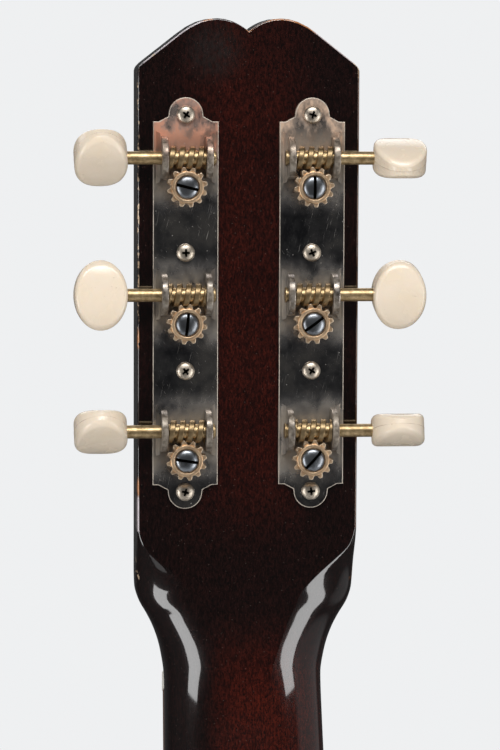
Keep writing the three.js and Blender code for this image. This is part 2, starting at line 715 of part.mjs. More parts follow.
function gearOutline() {
  const shape = new THREE.Shape();
  const corner = (radius, angle) => [-radius * Math.sin(angle), radius * Math.cos(angle)];
  for (let k = 0; k < GEAR_TEETH; k += 1) {
    const middle = (k / GEAR_TEETH) * 2 * Math.PI;
    const tip = TOOTH_TIP_HALF / GEAR_TIP;
    const root = TOOTH_ROOT_HALF / GEAR_ROOT;
    const corners = [
      corner(GEAR_ROOT, middle - root),
      corner(GEAR_TIP, middle - tip),
      corner(GEAR_TIP, middle + tip),
      corner(GEAR_ROOT, middle + root),
    ];
    corners.forEach((point, i) => (k + i === 0 ? shape.moveTo(...point) : shape.lineTo(...point)));
  }
  shape.closePath();
  return shape;
}

// The gear's teeth twist with height as the worm's thread slants across them.
function gearTeeth() {
  const half = GEAR_THICK / 2;
  const reach = GEAR_TO_WORM - GEAR_PITCH_RADIUS;
  const twist = Math.asin(half / reach) / GEAR_TEETH;
  return prism(gearOutline(), -half, half).warp((point) => {
    const angle = (-point[2] / half) * twist;
    const [x, y] = point;
    point[0] = x * Math.cos(angle) - y * Math.sin(angle);
    point[1] = x * Math.sin(angle) + y * Math.cos(angle);
  });
}

function gear({ name, phase }) {
  const turn = new THREE.Matrix4().makeRotationZ((phase / GEAR_TEETH) * 2 * Math.PI);
  const teeth = shifted(moved(gearTeeth(), turn), 0, 0, AXLE_LEVEL);
  const boss = rod(BOSS_RADIUS, AXLE_LEVEL, GEAR_TOP + BOSS_HEIGHT, 16);
  const counterbore = hole(GEAR_SCREW_HEAD, SLIP_GAP, GEAR_TOP, GEAR_TOP + BOSS_HEIGHT + 1, 16);
  const half = TENON_HALF + SLIP_GAP;
  const square = block(-half, half, -half, half, 0, GEAR_TOP + 1);
  return piece(`gear_${name}`, cut(joined(teeth, boss), counterbore, square), bronze);
}

function stringPost({ name }) {
  const tip = HEAD_FRONT - POST_STANDS;
  const shoulder = GEAR_BOTTOM - SEAT_GAP;
  const waist = HEAD_FRONT - WAIST_START;
  const profile = [
    [0, tip],
    [POST_WAIST, tip],
    [POST_RADIUS, tip + (POST_RADIUS - POST_WAIST)],
    [POST_RADIUS, waist - WAIST_LENGTH],
    [POST_WAIST, waist - WAIST_LENGTH + 1],
    [POST_WAIST, waist - 1],
    [POST_RADIUS, waist],
    [POST_RADIUS, shoulder],
    [0, shoulder],
  ];
  const square = block(-TENON_HALF, TENON_HALF, -TENON_HALF, TENON_HALF, shoulder - 1, GEAR_TOP - SEAT_GAP);
  const stringHole = alongX(rod(STRING_HOLE_RADIUS, -POST_RADIUS - 1, POST_RADIUS + 1, 6));
  const screwDepth = GEAR_TOP - GEAR_SCREW_REACH - SEAT_GAP;
  const made = cut(
    joined(turnedSolid(profile, 10), square),
    shifted(stringHole, 0, 0, HEAD_FRONT - STRING_HEIGHT),
    hole(GEAR_SCREW_SHANK, SLIP_GAP, screwDepth, GEAR_TOP + 1, 6),
  );
  return piece(`string_post_${name}`, made, nickel);
}

function gearScrew({ name, slot }) {
  const screw = domedScrew({
    head: GEAR_SCREW_HEAD,
    dome: GEAR_SCREW_DOME,
    shank: GEAR_SCREW_SHANK,
    reach: GEAR_SCREW_REACH,
    sides: 12,
  });
  const floor = GEAR_SCREW_DOME - SLOT_DEPTH;
  const groove = block(
    -GEAR_SCREW_HEAD - 1,
    GEAR_SCREW_HEAD + 1,
    -SLOT_WIDTH / 2,
    SLOT_WIDTH / 2,
    floor,
    GEAR_SCREW_DOME + 1,
  );
  const made = piece(`gear_screw_${name}`, cut(screw, groove), steel);
  made.position.z = GEAR_TOP + SEAT_GAP;
  made.rotation.z = rad(slot);
  return made;
}

function tuner(spec) {
  const group = new THREE.Group();
  group.position.set(spec.side * POST_X, rowPlace(spec.row), 0);
  return group.add(wormShaft(spec), button(spec), gear(spec), stringPost(spec), gearScrew(spec));
}

// Strings and nut

const stringShare = (i) => i / (STRING_DIAMETERS.length - 1) - 0.5;
const bridgeTop = (x) => boardTop(x) + STRING_LIFT_AT_BRIDGE;

// The post that each string winds on, from treble to bass: the outer strings go to the lowest pair.
const STRING_POSTS = [
  { side: -1, row: -1 },
  { side: -1, row: 0 },
  { side: -1, row: 1 },
  { side: 1, row: 1 },
  { side: 1, row: 0 },
  { side: 1, row: -1 },
];

// Points of one string's centre line: on the bridge's crown, on the nut, and beside its post.
function stringPoints(i) {
  const radius = STRING_DIAMETERS[i] / 2;
  const nutX = stringShare(i) * NUT_STRING_SPAN;
  const bridgeX = stringShare(i) * BRIDGE_STRING_SPAN;
  const bridgeY = bridgeTop(bridgeX) + SEAT_GAP + radius;
  const nutY = boardTop(nutX) + STRING_LIFT_AT_NUT + radius;
  const { side, row } = STRING_POSTS[i];
  const postX = side * (POST_X - POST_WAIST - RUN_GAP - radius);
  const post = vec(postX, STRING_HEIGHT, rowPlace(row)).applyMatrix4(headstock.matrixWorld);
  return [vec(bridgeX, bridgeY, BRIDGE_Z), vec(nutX, nutY, NUT_THICK / 2), post];
}

// A run of sections about a string's points, each given by its offsets across the string.
function alongString(points, offsets) {
  return lofted(points.map((p) => offsets.map(([dx, dy]) => vec(p.x + dx, p.y + dy, p.z))));
}

function string(i) {
  const sides = 6;
  const radius = STRING_DIAMETERS[i] / 2;
  const offsets = Array.from({ length: sides }, (_, k) => {
    const angle = (k / sides) * 2 * Math.PI;
    return [radius * Math.cos(angle), radius * Math.sin(angle)];
  });
  return piece(`string_${i + 1}`, alongString(stringPoints(i), offsets), i < 3 ? steel : nickel);
}

function nut() {
  const half = NUT_WIDTH / 2;
  const rings = [SEAT_GAP, NUT_THICK].map((z, k) => {
    const lower = k * NUT_FALL;
    const top = [half, half / 2, 0, -half / 2, -half].map((x) =>
      vec(x, boardTop(x) + STRING_LIFT_AT_NUT + STRING_DIAMETERS.at(-1) / 2 - lower, z),
    );
    return [...top, vec(-half, SEAT_GAP, z), vec(half, SEAT_GAP, z)];
  });
  const slots = STRING_DIAMETERS.map((diameter, i) => {
    const [bridge, middle, post] = stringPoints(i);
    const side = diameter / 2 + SLIP_GAP;
    const corners = [[side, -side], [side, BOARD_THICK], [-side, BOARD_THICK], [-side, -side]];
    const at = (from, to, z) => from.clone().lerp(to, (z - from.z) / (to.z - from.z));
    const run = [at(bridge, middle, -1), middle, at(middle, post, NUT_THICK + 1)];
    return alongString(run, corners);
  });
  return piece("nut", cut(lofted(rings), ...slots), bone);
}

// Body

// The body's outline, from the middle of its lower end up one side, across the neck joint and down the other.
function bodyOutline() {
  const joint = neckHalf(NECK_JOINT) + JOINT_SHELF;
  const upper = UPPER_BOUT_Z - WAIST_Z;
  const lower = WAIST_Z - LOWER_BOUT_Z;
  const end = LOWER_BOUT_Z - BODY_END;
  const horn = HORN_Z - UPPER_BOUT_Z;
  const tip = UPPER_BOUT_HALF - HORN_X;
  const cutaway = HORN_X - joint;
  const bout = LOWER_BOUT_HALF;
  const shoulder = UPPER_BOUT_HALF;
  const half = [
    [bout * 0.6, BODY_END, bout, LOWER_BOUT_Z - end * 0.58, bout, LOWER_BOUT_Z],
    [bout, LOWER_BOUT_Z + lower * 0.5, WAIST_HALF, WAIST_Z - lower * 0.38, WAIST_HALF, WAIST_Z],
    [WAIST_HALF, WAIST_Z + upper * 0.4, shoulder, UPPER_BOUT_Z - upper * 0.4, shoulder, UPPER_BOUT_Z],
    [shoulder, UPPER_BOUT_Z + horn * 0.55, HORN_X + tip * 0.6, HORN_Z, HORN_X, HORN_Z],
    [HORN_X - cutaway * 0.62, HORN_Z, joint + cutaway * 0.72, NECK_JOINT, joint, NECK_JOINT],
  ];
  const starts = [[0, BODY_END], ...half.map((curve) => curve.slice(4))];
  const shape = new THREE.Shape();
  shape.moveTo(0, BODY_END);
  half.forEach((curve) => shape.bezierCurveTo(...curve));
  shape.lineTo(-joint, NECK_JOINT);
  for (let i = half.length - 1; i >= 0; i -= 1) {
    const [ax, az, bx, bz] = half[i];
    const [x, z] = starts[i];
    shape.bezierCurveTo(-bx, bz, -ax, az, -x, z);
  }
  return shape;
}

function body() {
  const slabBody = slab(bodyOutline(), BODY_BACK, BODY_TOP, { round: BODY_ROUND, steps: 8 });
  const floor = BODY_TOP - CAVITY_DEPTH;
  const x0 = CONTROL_X - CAVITY_HALF;
  const x1 = CONTROL_X + CAVITY_HALF;
  const controls = block(x0, x1, floor, 0, TONE_Z - CAVITY_PAST, VOLUME_Z + CAVITY_PAST);
  const room = JACK_NUT_RADIUS + 2;
  const jack = block(CONTROL_X - room, CONTROL_X + room, floor, 0, JACK_Z - room, JACK_Z + room);
  const pickupSpace = pickupBlock(BODY_TOP - PICKUP_SUNK - SEAT_GAP, 0, SLIP_GAP * 2);
  const studs = [-1, 1].map((side) =>
    facingFront(hole(STUD_SHANK, SLIP_GAP, -STUD_REACH - SEAT_GAP, 1, 8), side * STUD_X, BODY_TOP, BRIDGE_Z),
  );
  const strap = hole(STRAP_SCREW_RADIUS, SLIP_GAP, -STRAP_SCREW_REACH - SEAT_GAP, 1, 6);
  const strapHoles = STRAP_BUTTONS.map((place) => moved(strap, strapButtonFrame(place)));
  const cavities = [controls, jack, pickupSpace, ...studs, ...strapHoles];
  return piece("body", cut(slabBody, tenonBlock(SLIP_GAP), ...cavities), mahogany);
}

// Turns a piece made along +Z to face the front, at a place on the guitar.
function facingFront(solid, x, y, z) {
  return shifted(moved(solid, new THREE.Matrix4().makeRotationX(-Math.PI / 2)), x, y, z);
}

// Pickguard, pickup, controls and jack

function pickupBlock(y0, y1, gap) {
  const long = PICKUP_HALF_LENGTH + gap;
  const wide = PICKUP_HALF_WIDTH + gap;
  return block(-long, long, y0, y1, PICKUP_Z - wide, PICKUP_Z + wide);
}

function guardOutline() {
  const neckSide = neckHalf(BOARD_END) + GUARD_TO_NECK;
  const end = BOARD_END - GUARD_TO_NECK;
  const below = PICKUP_Z - PICKUP_HALF_WIDTH - GUARD_BELOW_PICKUP;
  const corner = GUARD_BELOW_PICKUP;
  const middle = (GUARD_INNER + GUARD_OUTER) / 2;
  const swell = (GUARD_INNER - GUARD_OUTER) / 2;
  const shape = new THREE.Shape();
  shape.moveTo(-neckSide, GUARD_TOP);
  shape.lineTo(-neckSide, end);
  shape.lineTo(neckSide - corner, end);
  shape.quadraticCurveTo(GUARD_BASS, end, GUARD_BASS, PICKUP_Z);
  shape.lineTo(GUARD_BASS, below + corner);
  shape.quadraticCurveTo(GUARD_BASS, below, GUARD_BASS - corner, below);
  shape.lineTo(GUARD_INNER + corner, below);
  shape.quadraticCurveTo(GUARD_INNER, below, GUARD_INNER, below - corner);
  shape.lineTo(GUARD_INNER, GUARD_BOTTOM + swell);
  shape.quadraticCurveTo(GUARD_INNER, GUARD_BOTTOM, middle, GUARD_BOTTOM);
  shape.quadraticCurveTo(GUARD_OUTER, GUARD_BOTTOM, GUARD_OUTER, TONE_Z);
  shape.bezierCurveTo(GUARD_OUTER, PICKUP_Z, middle, PICKUP_Z + swell, middle + corner, WAIST_Z);
  shape.quadraticCurveTo(middle + corner * 2, GUARD_TOP, -neckSide, GUARD_TOP);
  return shape;
}

function pickguard() {
  const plate = slab(guardOutline(), BODY_TOP + SEAT_GAP, GUARD_LEVEL);
  const through = [-GUARD_THICK * 2, GUARD_THICK * 2];
  const knobHole = hole(KNOB_SHAFT_RADIUS, RUN_GAP, ...through, 10);
  const jackHole = hole(JACK_SLEEVE, SLIP_GAP, ...through, 12);
  const holes = [
    facingFront(knobHole, CONTROL_X, GUARD_LEVEL, VOLUME_Z),
    facingFront(knobHole, CONTROL_X, GUARD_LEVEL, TONE_Z),
    facingFront(jackHole, CONTROL_X, GUARD_LEVEL, JACK_Z),
    pickupBlock(BODY_TOP - GUARD_THICK, GUARD_LEVEL + GUARD_THICK, SLIP_GAP),
  ];
  return piece("pickguard", cut(plate, ...holes), blackPlastic);
}

function pickup() {
  const shape = new THREE.Shape();
  const [long, wide] = [PICKUP_HALF_LENGTH, PICKUP_HALF_WIDTH];
  const round = PICKUP_ROUND;
  const [low, high] = [PICKUP_Z - wide, PICKUP_Z + wide];
  shape.moveTo(-long + round, low);
  shape.lineTo(long - round, low);
  shape.quadraticCurveTo(long, low, long, low + round);
  shape.lineTo(long, high - round);
  shape.quadraticCurveTo(long, high, long - round, high);
  shape.lineTo(-long + round, high);
  shape.quadraticCurveTo(-long, high, -long, high - round);
  shape.lineTo(-long, low + round);
  shape.quadraticCurveTo(-long, low, -long + round, low);
  const made = slab(shape, BODY_TOP - PICKUP_SUNK, GUARD_LEVEL + PICKUP_STANDS, { round: 1, steps: 2 });
  return piece("pickup", made, ivoryPlastic);
}

function knob(name, z) {
  const profile = [
    [0, -KNOB_SHAFT_SUNK],
    [KNOB_SHAFT_RADIUS, -KNOB_SHAFT_SUNK],
    [KNOB_SHAFT_RADIUS, 0],
    [KNOB_BASE_RADIUS, 0],
    [KNOB_BASE_RADIUS, KNOB_SKIRT / 2],
    [KNOB_TOP_RADIUS + 0.6, KNOB_SKIRT],
    [KNOB_TOP_RADIUS, KNOB_HEIGHT - 1],
    [KNOB_TOP_RADIUS - 1, KNOB_HEIGHT],
    [0, KNOB_HEIGHT],
  ];
  const top = KNOB_HEIGHT;
  const half = KNOB_MARK_HALF;
  const mark = block(-half, half, KNOB_TOP_RADIUS / 2, KNOB_TOP_RADIUS * 2, top - KNOB_MARK_DEPTH, top + 1);
  const made = piece(name, cut(turnedSolid(profile, 20), mark), blackPlastic);
  made.rotation.x = -Math.PI / 2;
  made.position.set(CONTROL_X, GUARD_LEVEL + KNOB_LIFT, z);
  return made;
}

function outputJack() {
  const profile = [
    [JACK_BORE, -JACK_SUNK],
    [JACK_SLEEVE, -JACK_SUNK],
    [JACK_SLEEVE, 0],
    [JACK_NUT_RADIUS, 0],
    [JACK_NUT_RADIUS, JACK_NUT_HEIGHT - 0.6],
    [JACK_NUT_RADIUS - 0.8, JACK_NUT_HEIGHT],
    [JACK_BORE, JACK_NUT_HEIGHT],
    [JACK_BORE, -JACK_SUNK],
  ];
  const made = piece("output_jack", turnedSolid(profile, 12), nickel);
  made.rotation.x = -Math.PI / 2;
  made.position.set(CONTROL_X, GUARD_LEVEL + SEAT_GAP, JACK_Z);
  return made;
}

// Bridge and strap buttons

// One rounded section of the bridge's bar, at a place across the body.
function barRing(x) {
  const top = bridgeTop(x);
  const [w, h] = [BAR_HALF_WIDTH, BAR_HEIGHT];
  const section = [
    [-w, -h * 0.55],
    [-w * 0.7, -h * 0.92],
    [w * 0.7, -h],
    [w, -h * 0.75],
    [w * 0.9, -h * 0.3],
    [w * 0.5, -h * 0.06],
    [0, 0],
    [-w * 0.5, -h * 0.08],
    [-w * 0.9, -h * 0.3],
  ];
  return section.map(([dz, dy]) => vec(x, top + dy, BRIDGE_Z + dz)).reverse();
}

function bridge() {
  const bar = lofted([-1, -0.5, 0, 0.5, 1].map((share) => barRing(share * BAR_HALF_LENGTH)));
  const earTop = bridgeTop(BAR_HALF_LENGTH) - BAR_HEIGHT * 0.2;
  const shape = new THREE.Shape();
  const round = BRIDGE_EAR_HALF;
  const centre = BRIDGE_EAR_END - round;
  shape.moveTo(-centre, BRIDGE_Z - round);
  shape.lineTo(centre, BRIDGE_Z - round);
  shape.absarc(centre, BRIDGE_Z, round, -Math.PI / 2, Math.PI / 2, false);
  shape.lineTo(-centre, BRIDGE_Z + round);
  shape.absarc(-centre, BRIDGE_Z, round, Math.PI / 2, 1.5 * Math.PI, false);
  const ears = slab(shape, earTop - BRIDGE_EAR_THICK, earTop);
  const rise = earTop - BODY_TOP;
  const profile = [
    [0, -STUD_REACH],
    [STUD_SHANK, -STUD_REACH],
    [STUD_SHANK, SEAT_GAP],
    [STUD_HEAD, SEAT_GAP],
    [STUD_HEAD, SEAT_GAP + 1.5],
    [STUD_SHANK, SEAT_GAP + 1.5],
    [STUD_SHANK, rise],
    [STUD_HEAD, rise],
    [STUD_HEAD, rise + 2],
    [0, rise + 2],
  ];
  const stud = turnedSolid(profile, 12);
  const studs = [-1, 1].map((side) => facingFront(stud, side * STUD_X, BODY_TOP, BRIDGE_Z));
  return piece("bridge", joined(bar, ears, ...studs), nickel);
}

// Where a strap button stands: below the body, and on the tip of the bass horn.
const STRAP_BUTTONS = [
  { name: "strap_button_end", x: 0, z: BODY_END, turned: 180 },
  { name: "strap_button_horn", x: HORN_X, z: HORN_Z, turned: 0 },
];

function strapButtonFrame({ x, z, turned }) {
  return new THREE.Matrix4().makeRotationX(rad(turned)).setPosition(x, BODY_MIDDLE, z);
}

// A strap button standing on its seat with its screw below.
function strapButton(place) {
  const length = STRAP_BUTTON_LENGTH;
  const profile = [
    [0, -STRAP_SCREW_REACH],
    [STRAP_SCREW_RADIUS, -STRAP_SCREW_REACH],
    [STRAP_SCREW_RADIUS, SEAT_GAP],
    [STRAP_BUTTON_RADIUS * 0.8, SEAT_GAP],
    [STRAP_BUTTON_WAIST, length * 0.35],
    [STRAP_BUTTON_WAIST, length * 0.65],
    [STRAP_BUTTON_RADIUS, length * 0.85],
    [STRAP_BUTTON_RADIUS, length],
    [0, length],
  ];
  return piece(place.name, moved(turnedSolid(profile, 12), strapButtonFrame(place)), nickel);
}

// The whole guitar

headstock.add(trussCover());
headBack.add(tunerPlate("tuner_plate_treble", -1), tunerPlate("tuner_plate_bass", 1), ...TUNERS.map(tuner));
for (const [side, name] of [[-1, "treble"], [1, "bass"]]) {
  plateScrewPlaces().forEach((at, k) => headBack.add(plateScrew(`plate_screw_${name}_${k + 1}`, side, at)));
}

const guitar = new THREE.Group();
guitar.add(neck(), fingerboard(), nut(), trussRod(), headstock, body(), pickguard(), pickup(), bridge());
guitar.add(knob("volume_knob", VOLUME_Z), knob("tone_knob", TONE_Z), outputJack());
guitar.add(...STRAP_BUTTONS.map(strapButton));
guitar.add(...STRING_DIAMETERS.map((_, i) => string(i)));

export default guitar;
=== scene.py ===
"""Dresses a six-string slab-bodied electric guitar whose headstock carries two strips of open tuners.

The guitar hangs upright: +Z runs up the neck, +Y is the side with the strings and +X is the bass side.
Pieces are modelled in millimetres, in the frame of what carries them. Their place then goes into the mesh.
"""

import json
from functools import reduce
from itertools import chain
from math import cos, hypot, pi, radians, sin, sqrt, tan

import bmesh
import bpy
from bpy.props import FloatProperty, FloatVectorProperty, IntProperty, PointerProperty
from mathutils import Matrix, Vector


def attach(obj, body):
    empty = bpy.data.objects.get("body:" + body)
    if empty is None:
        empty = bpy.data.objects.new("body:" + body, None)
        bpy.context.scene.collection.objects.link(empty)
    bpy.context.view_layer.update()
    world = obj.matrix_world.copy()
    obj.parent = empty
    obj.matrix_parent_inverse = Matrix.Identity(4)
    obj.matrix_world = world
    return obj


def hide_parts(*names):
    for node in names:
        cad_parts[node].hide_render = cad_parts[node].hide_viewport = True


bl_info = {
    "name": "Strip-tuner guitar",
    "version": (1, 0, 0),
    "blender": (4, 5, 0),
    "location": "3D View > Sidebar > Guitar",
    "description": "Builds the looks of an electric guitar round its packed frame",
    "category": "Object",
}

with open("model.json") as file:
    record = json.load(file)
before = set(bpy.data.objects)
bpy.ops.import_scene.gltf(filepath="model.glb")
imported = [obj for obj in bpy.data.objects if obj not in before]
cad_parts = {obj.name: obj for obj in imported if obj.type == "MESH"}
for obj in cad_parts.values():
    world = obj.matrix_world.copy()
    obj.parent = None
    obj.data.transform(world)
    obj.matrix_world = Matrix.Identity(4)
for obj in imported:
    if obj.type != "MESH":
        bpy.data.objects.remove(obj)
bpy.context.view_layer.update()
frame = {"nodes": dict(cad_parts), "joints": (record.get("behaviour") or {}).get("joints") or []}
MM = 0.001

# The guitar's frames, from the tuners' joints
JOINTS = {joint["name"]: joint for joint in frame["joints"]}
POSTS = {
    name.removeprefix("post_turn_"): Vector(joint["pos_m"]) / MM
    for name, joint in JOINTS.items()
    if name.startswith("post_turn_")
}
RIGHT = Vector((1, 0, 0))
OUT = Vector(JOINTS["post_turn_bass_top"]["axis"]).normalized()
UP = OUT.cross(RIGHT)
LEAN = radians(17)
NUT_THICK = 5
HEAD_THICK = 14.3
AXLE_LEVEL = 5.1
GEAR_TO_WORM = 7.65
POST_X = 16.75
POST_MIDDLE = 95
POST_PITCH = 36
POST_HOLE = 3.25


def frame_of(x_axis, y_axis, z_axis, origin=(0, 0, 0)):
    """A frame in millimetres from its three directions and its origin."""
    turn = Matrix((x_axis, y_axis, z_axis)).transposed().to_4x4()
    return Matrix.Translation(origin) @ turn


GUITAR = Matrix.Identity(4)
BACK = frame_of(RIGHT, UP, OUT, POSTS["bass_middle"] - RIGHT * POST_X - UP * POST_MIDDLE - OUT * AXLE_LEVEL)
FRONT_OF_HEAD = frame_of(-RIGHT, UP, -OUT, (0, 0, NUT_THICK))
ALONG_X = frame_of((0, 1, 0), (0, 0, 1), RIGHT)
TO_X = Matrix.Rotation(pi / 2, 4, "Y")


def facing_front(x, y, z):
    """A place on the body's front, with its +Z out of the body and its +Y up the neck."""
    return frame_of((-1, 0, 0), (0, 0, 1), (0, 1, 0), (x, y, z))


def beside(spot, x=0, y=0, z=0, turn=0, about="Z"):
    """A place in another's frame, turned by degrees about one of its axes."""
    return spot @ Matrix.Translation((x, y, z)) @ Matrix.Rotation(radians(turn), 4, about)


def tuner_frame(name):
    """The frame of one tuner on the headstock's back, its +Z out of the wood through the post."""
    return frame_of(RIGHT, UP, OUT, POSTS[name] - OUT * AXLE_LEVEL)


# The six tuners as the back shows them: side, the button's turn, the slot's angle, the gear's turn in teeth
TUNERS = {
    "treble_top": (-1, 43, -14, 0.44),
    "treble_middle": (-1, -2, 84, 0.74),
    "treble_low": (-1, 57, -9, 0.38),
    "bass_top": (1, -69, 90, 0.26),
    "bass_middle": (1, 12, 36, 0.44),
    "bass_low": (1, 73, 48, 0.87),
}
STRING_TUNERS = ("treble_low", "treble_middle", "treble_top", "bass_top", "bass_middle", "bass_low")

# Neck, fingerboard and nut
SCALE = 628.65
FRETS = 22
BOARD_END = -SCALE * (1 - 2 ** (-FRETS / 12)) - 6
BOARD_THICK = 5.6
BOARD_RADIUS = 305
BODY_TOP = -3
BODY_BACK = -45
BODY_MIDDLE = (BODY_TOP + BODY_BACK) / 2
NECK_JOINT = -425
HEEL_START = -367
HEAD_BASE = 40
HEAD_CORNER = 162.4
HEAD_CREST = 175.2
HEAD_BASE_HALF = 29.3
HEAD_HALF = 29.4
NUT_WIDTH = 42.2
CREST_X = 8.4
SLOPE_X = 17.9
GUARD_LEVEL = -0.8
PICKUP_Z = -586
PICKUP_HALF_WIDTH, PICKUP_HALF_HEIGHT, PICKUP_GAP = 43, 11, 0.4
BRIDGE_Z = -631
CONTROL_X = -95
DOT_FRETS = (3, 5, 7, 9, 12, 15, 17, 19, 21)
FRET_HALF = 1.2
COVER_TOP = 1.8
COVER_SCREWS = ((-9.6, 4), (9.6, 4), (0, 34.6))

# Sections up the neck's top: height, half-width, half of the flat back, depth, straight side, roll in degrees
HEAD_ROWS = (
    (-25, 21.4, 4, 15.7, 2.6, 90),
    (-12, 21.2, 4.7, 15.7, 2.65, 86),
    (-4, 21.1, 5.9, 15.8, 2.75, 80),
    (0, 21.2, 6.7, 15.9, 2.85, 76),
    (4, 21.8, 7.7, 15.95, 3, 72),
    (8, 22.7, 8.9, 15.8, 3.3, 68),
    (12, 24.1, 10.2, 15.4, 3.7, 65),
    (15.5, 25.8, 11.5, 15, 4.1, 63),
    (19, 27.8, 13.1, 14.7, 4.6, 62),
    (22.5, 29, 14.5, 14.35, 5, 62),
    (25.5, 29.25, 17.1, 14.3, 5.6, 62),
    (28.5, 29.3, 20.2, 14.3, 6.6, 62),
    (31.5, 29.3, 23.6, 14.3, 8.2, 63),
    (35, 29.3, 27, 14.3, 10.8, 70),
    (38, 29.3, 28.3, 14.3, 12.9, 82),
    (40, 29.3, 28.6, 14.3, 13.6, 90),
    (44, 29.3, 28.6, 14.3, 13.6, 90),
)
COLUMNS = (0, 0.6, 1.4, 2.6, 4.2, 6.3, 8.4, 10.4, 12.8, 15.4, 17.9, 21, 24, 26.2, 27.5, 28.4)
ROLL_STEPS = 10
SMUDGE = (-0.0095, 0.0143, 0.1665)
FOLD_REACH = 20
FOLD_DEPTH = 15.9


# Shapes


def mixed(a, b, share):
    return a + (b - a) * share


def eased_share(x):
    x = min(max(x, 0), 1)
    return x * x * (3 - 2 * x)


def row_at(rows, x):
    """The values at x on a smooth curve through rows, whose first column is x."""
    last = len(rows) - 1
    i = max(k for k in range(last) if k == 0 or rows[k][0] <= x)
    before, a, b, after = (Vector(rows[min(max(k, 0), last)]) for k in (i - 1, i, i + 1, i + 2))
    span = b[0] - a[0]
    t = (x - a[0]) / span
    rise_a = (b - before) * (span / (b[0] - before[0]))
    rise_b = (after - a) * (span / (after[0] - a[0]))
    from_a = a * (1 + 2 * t) * (1 - t) ** 2 + rise_a * t * (1 - t) ** 2
    return list(from_a + b * t * t * (3 - 2 * t) + rise_b * t * t * (t - 1))[1:]


def bend(points, steps):
    """Points along the curve that these control points draw, without its first."""
    out = []
    for k in range(1, steps + 1):
        row = [Vector(p) for p in points]
        while len(row) > 1:
            row = [a.lerp(b, k / steps) for a, b in zip(row, row[1:])]
        out.append(row[0])
    return out


def outline(start, *parts, steps=8):
    """A run of points from start: each part adds a line's end, or a curve's control points and end."""
    points = [Vector(start)]
    for part in parts:
        points += bend([points[-1], *part], steps if len(part) > 1 else 1)
    return points


def eased(corners, radius, steps=3, closed=False):
    """A run of corners, each rounded off by no more than half of its shorter side."""
    points = [Vector(c) for c in corners]
    out = []
    for i, here in enumerate(points):
        if not closed and i in (0, len(points) - 1):
            out.append(here)
            continue
        sides = [other - here for other in (points[i - 1], points[(i + 1) % len(points)])]
        reach = min(radius, *(side.length / 2 for side in sides))
        start, end = (here + side.normalized() * reach for side in sides)
        out += [start, *bend([start, here, end], steps)]
    return out


def mirrored(half):
    """A closed outline from its right half, which runs from one end's middle to the other's."""
    return [*half, *(Vector((-p[0], *p[1:])) for p in reversed(half[1:-1]))]


def ring(count, radius, angle=0):
    turns = [angle + 2 * pi * k / count for k in range(count)]
    return [(radius * cos(turn), radius * sin(turn)) for turn in turns]


def fresh():
    """An empty mesh whose faces can be marked as rubbed edges, or as recesses painted near-black as shade."""
    bm = bmesh.new()
    bm.faces.layers.float.new("edge")
    return bm


def outward(bm):
    bmesh.ops.recalc_face_normals(bm, faces=bm.faces)
    return bm


def welded(bm):
    """Joins what meets and turns the faces out."""
    bmesh.ops.remove_doubles(bm, verts=bm.verts, dist=1e-4)
    return outward(bm)


def laid(rows):
    """A grid of faces laid on rows of points."""
    bm = fresh()
    bmesh.ops.create_grid(bm, x_segments=len(rows[0]) - 1, y_segments=len(rows) - 1, size=1)
    for vert, point in zip(bm.verts, chain.from_iterable(rows)):
        vert.co = point
    return bm


def skin(rings):
    """A closed skin over rings of points, with both ends drawn together."""
    ends = [[sum((Vector(p) for p in end), Vector()) / len(end)] * len(end) for end in (rings[0], rings[-1])]
    rows = [ends[0], *rings, ends[1]]
    return welded(laid([[*row, row[0]] for row in rows]))


def mark_wear_and_shade(bm, faces, how=1):
    """Marks faces as rubbed bright, up to 1, or as a recess painted near-black as shade, down to -1."""
    layer = bm.faces.layers.float["edge"]
    for face in faces:
        face[layer] = how
    return bm


def prism(points, z0, z1, bevel=0, segments=2, both=False):
    """A flat outline pushed along +Z, with its top edge bevelled, or both its edges."""
    bm = fresh()
    base = bm.faces.new([bm.verts.new((p[0], p[1], z0)) for p in points])
    grown = bmesh.ops.extrude_face_region(bm, geom=[base])["geom"]
    top = [g for g in grown if isinstance(g, bmesh.types.BMVert)]
    bmesh.ops.translate(bm, verts=top, vec=(0, 0, z1 - z0))
    outward(bm)
    if bevel:
        levels = (z1, z0) if both else (z1,)
        rims = [e for e in bm.edges if any(all(abs(v.co.z - z) < 1e-5 for v in e.verts) for z in levels)]
        made = bmesh.ops.bevel(
            bm,
            geom=rims,
            offset=bevel,
            offset_type="OFFSET",
            affect="EDGES",
            segments=segments,
            profile=0.5,
            material=-1,
        )
        mark_wear_and_shade(bm, made["faces"])
    return bm


def turned(profile, sides=48):
    """A profile of (radius, height) turned about +Z."""
    bm = fresh()
    verts = [bm.verts.new((p[0], 0, p[1])) for p in profile]
    edges = [bm.edges.new(pair) for pair in zip(verts, verts[1:])]
    geom = verts + edges
    bmesh.ops.spin(bm, geom=geom, cent=(0, 0, 0), axis=(0, 0, 1), angle=2 * pi, steps=sides, use_merge=True)
    return welded(bm)


def rod(radius, low, high, sides=32, ease=0):
    """A rod about +Z from low to high, with its edges eased where asked."""
    profile = [(0, low), (radius, low), (radius, high), (0, high)]
    return turned(eased(profile, ease) if ease else profile, sides)


def block(x0, x1, y0, y1, z0, z1):
    return prism([(x0, y0), (x1, y0), (x1, y1), (x0, y1)], z0, z1)


def moved(bm, matrix):
    bmesh.ops.transform(bm, matrix=matrix, verts=bm.verts)
    return bm


def shifted(bm, x=0, y=0, z=0):
    return moved(bm, Matrix.Translation((x, y, z)))


def joined(first, *others):
    """One mesh that holds them all, with each one's marks for rubbed edges and painted shade."""
    for other in others:
        mesh = bpy.data.meshes.new("part")
        other.to_mesh(mesh)
        first.from_mesh(mesh)
        bpy.data.meshes.remove(mesh)
        other.free()
    return first


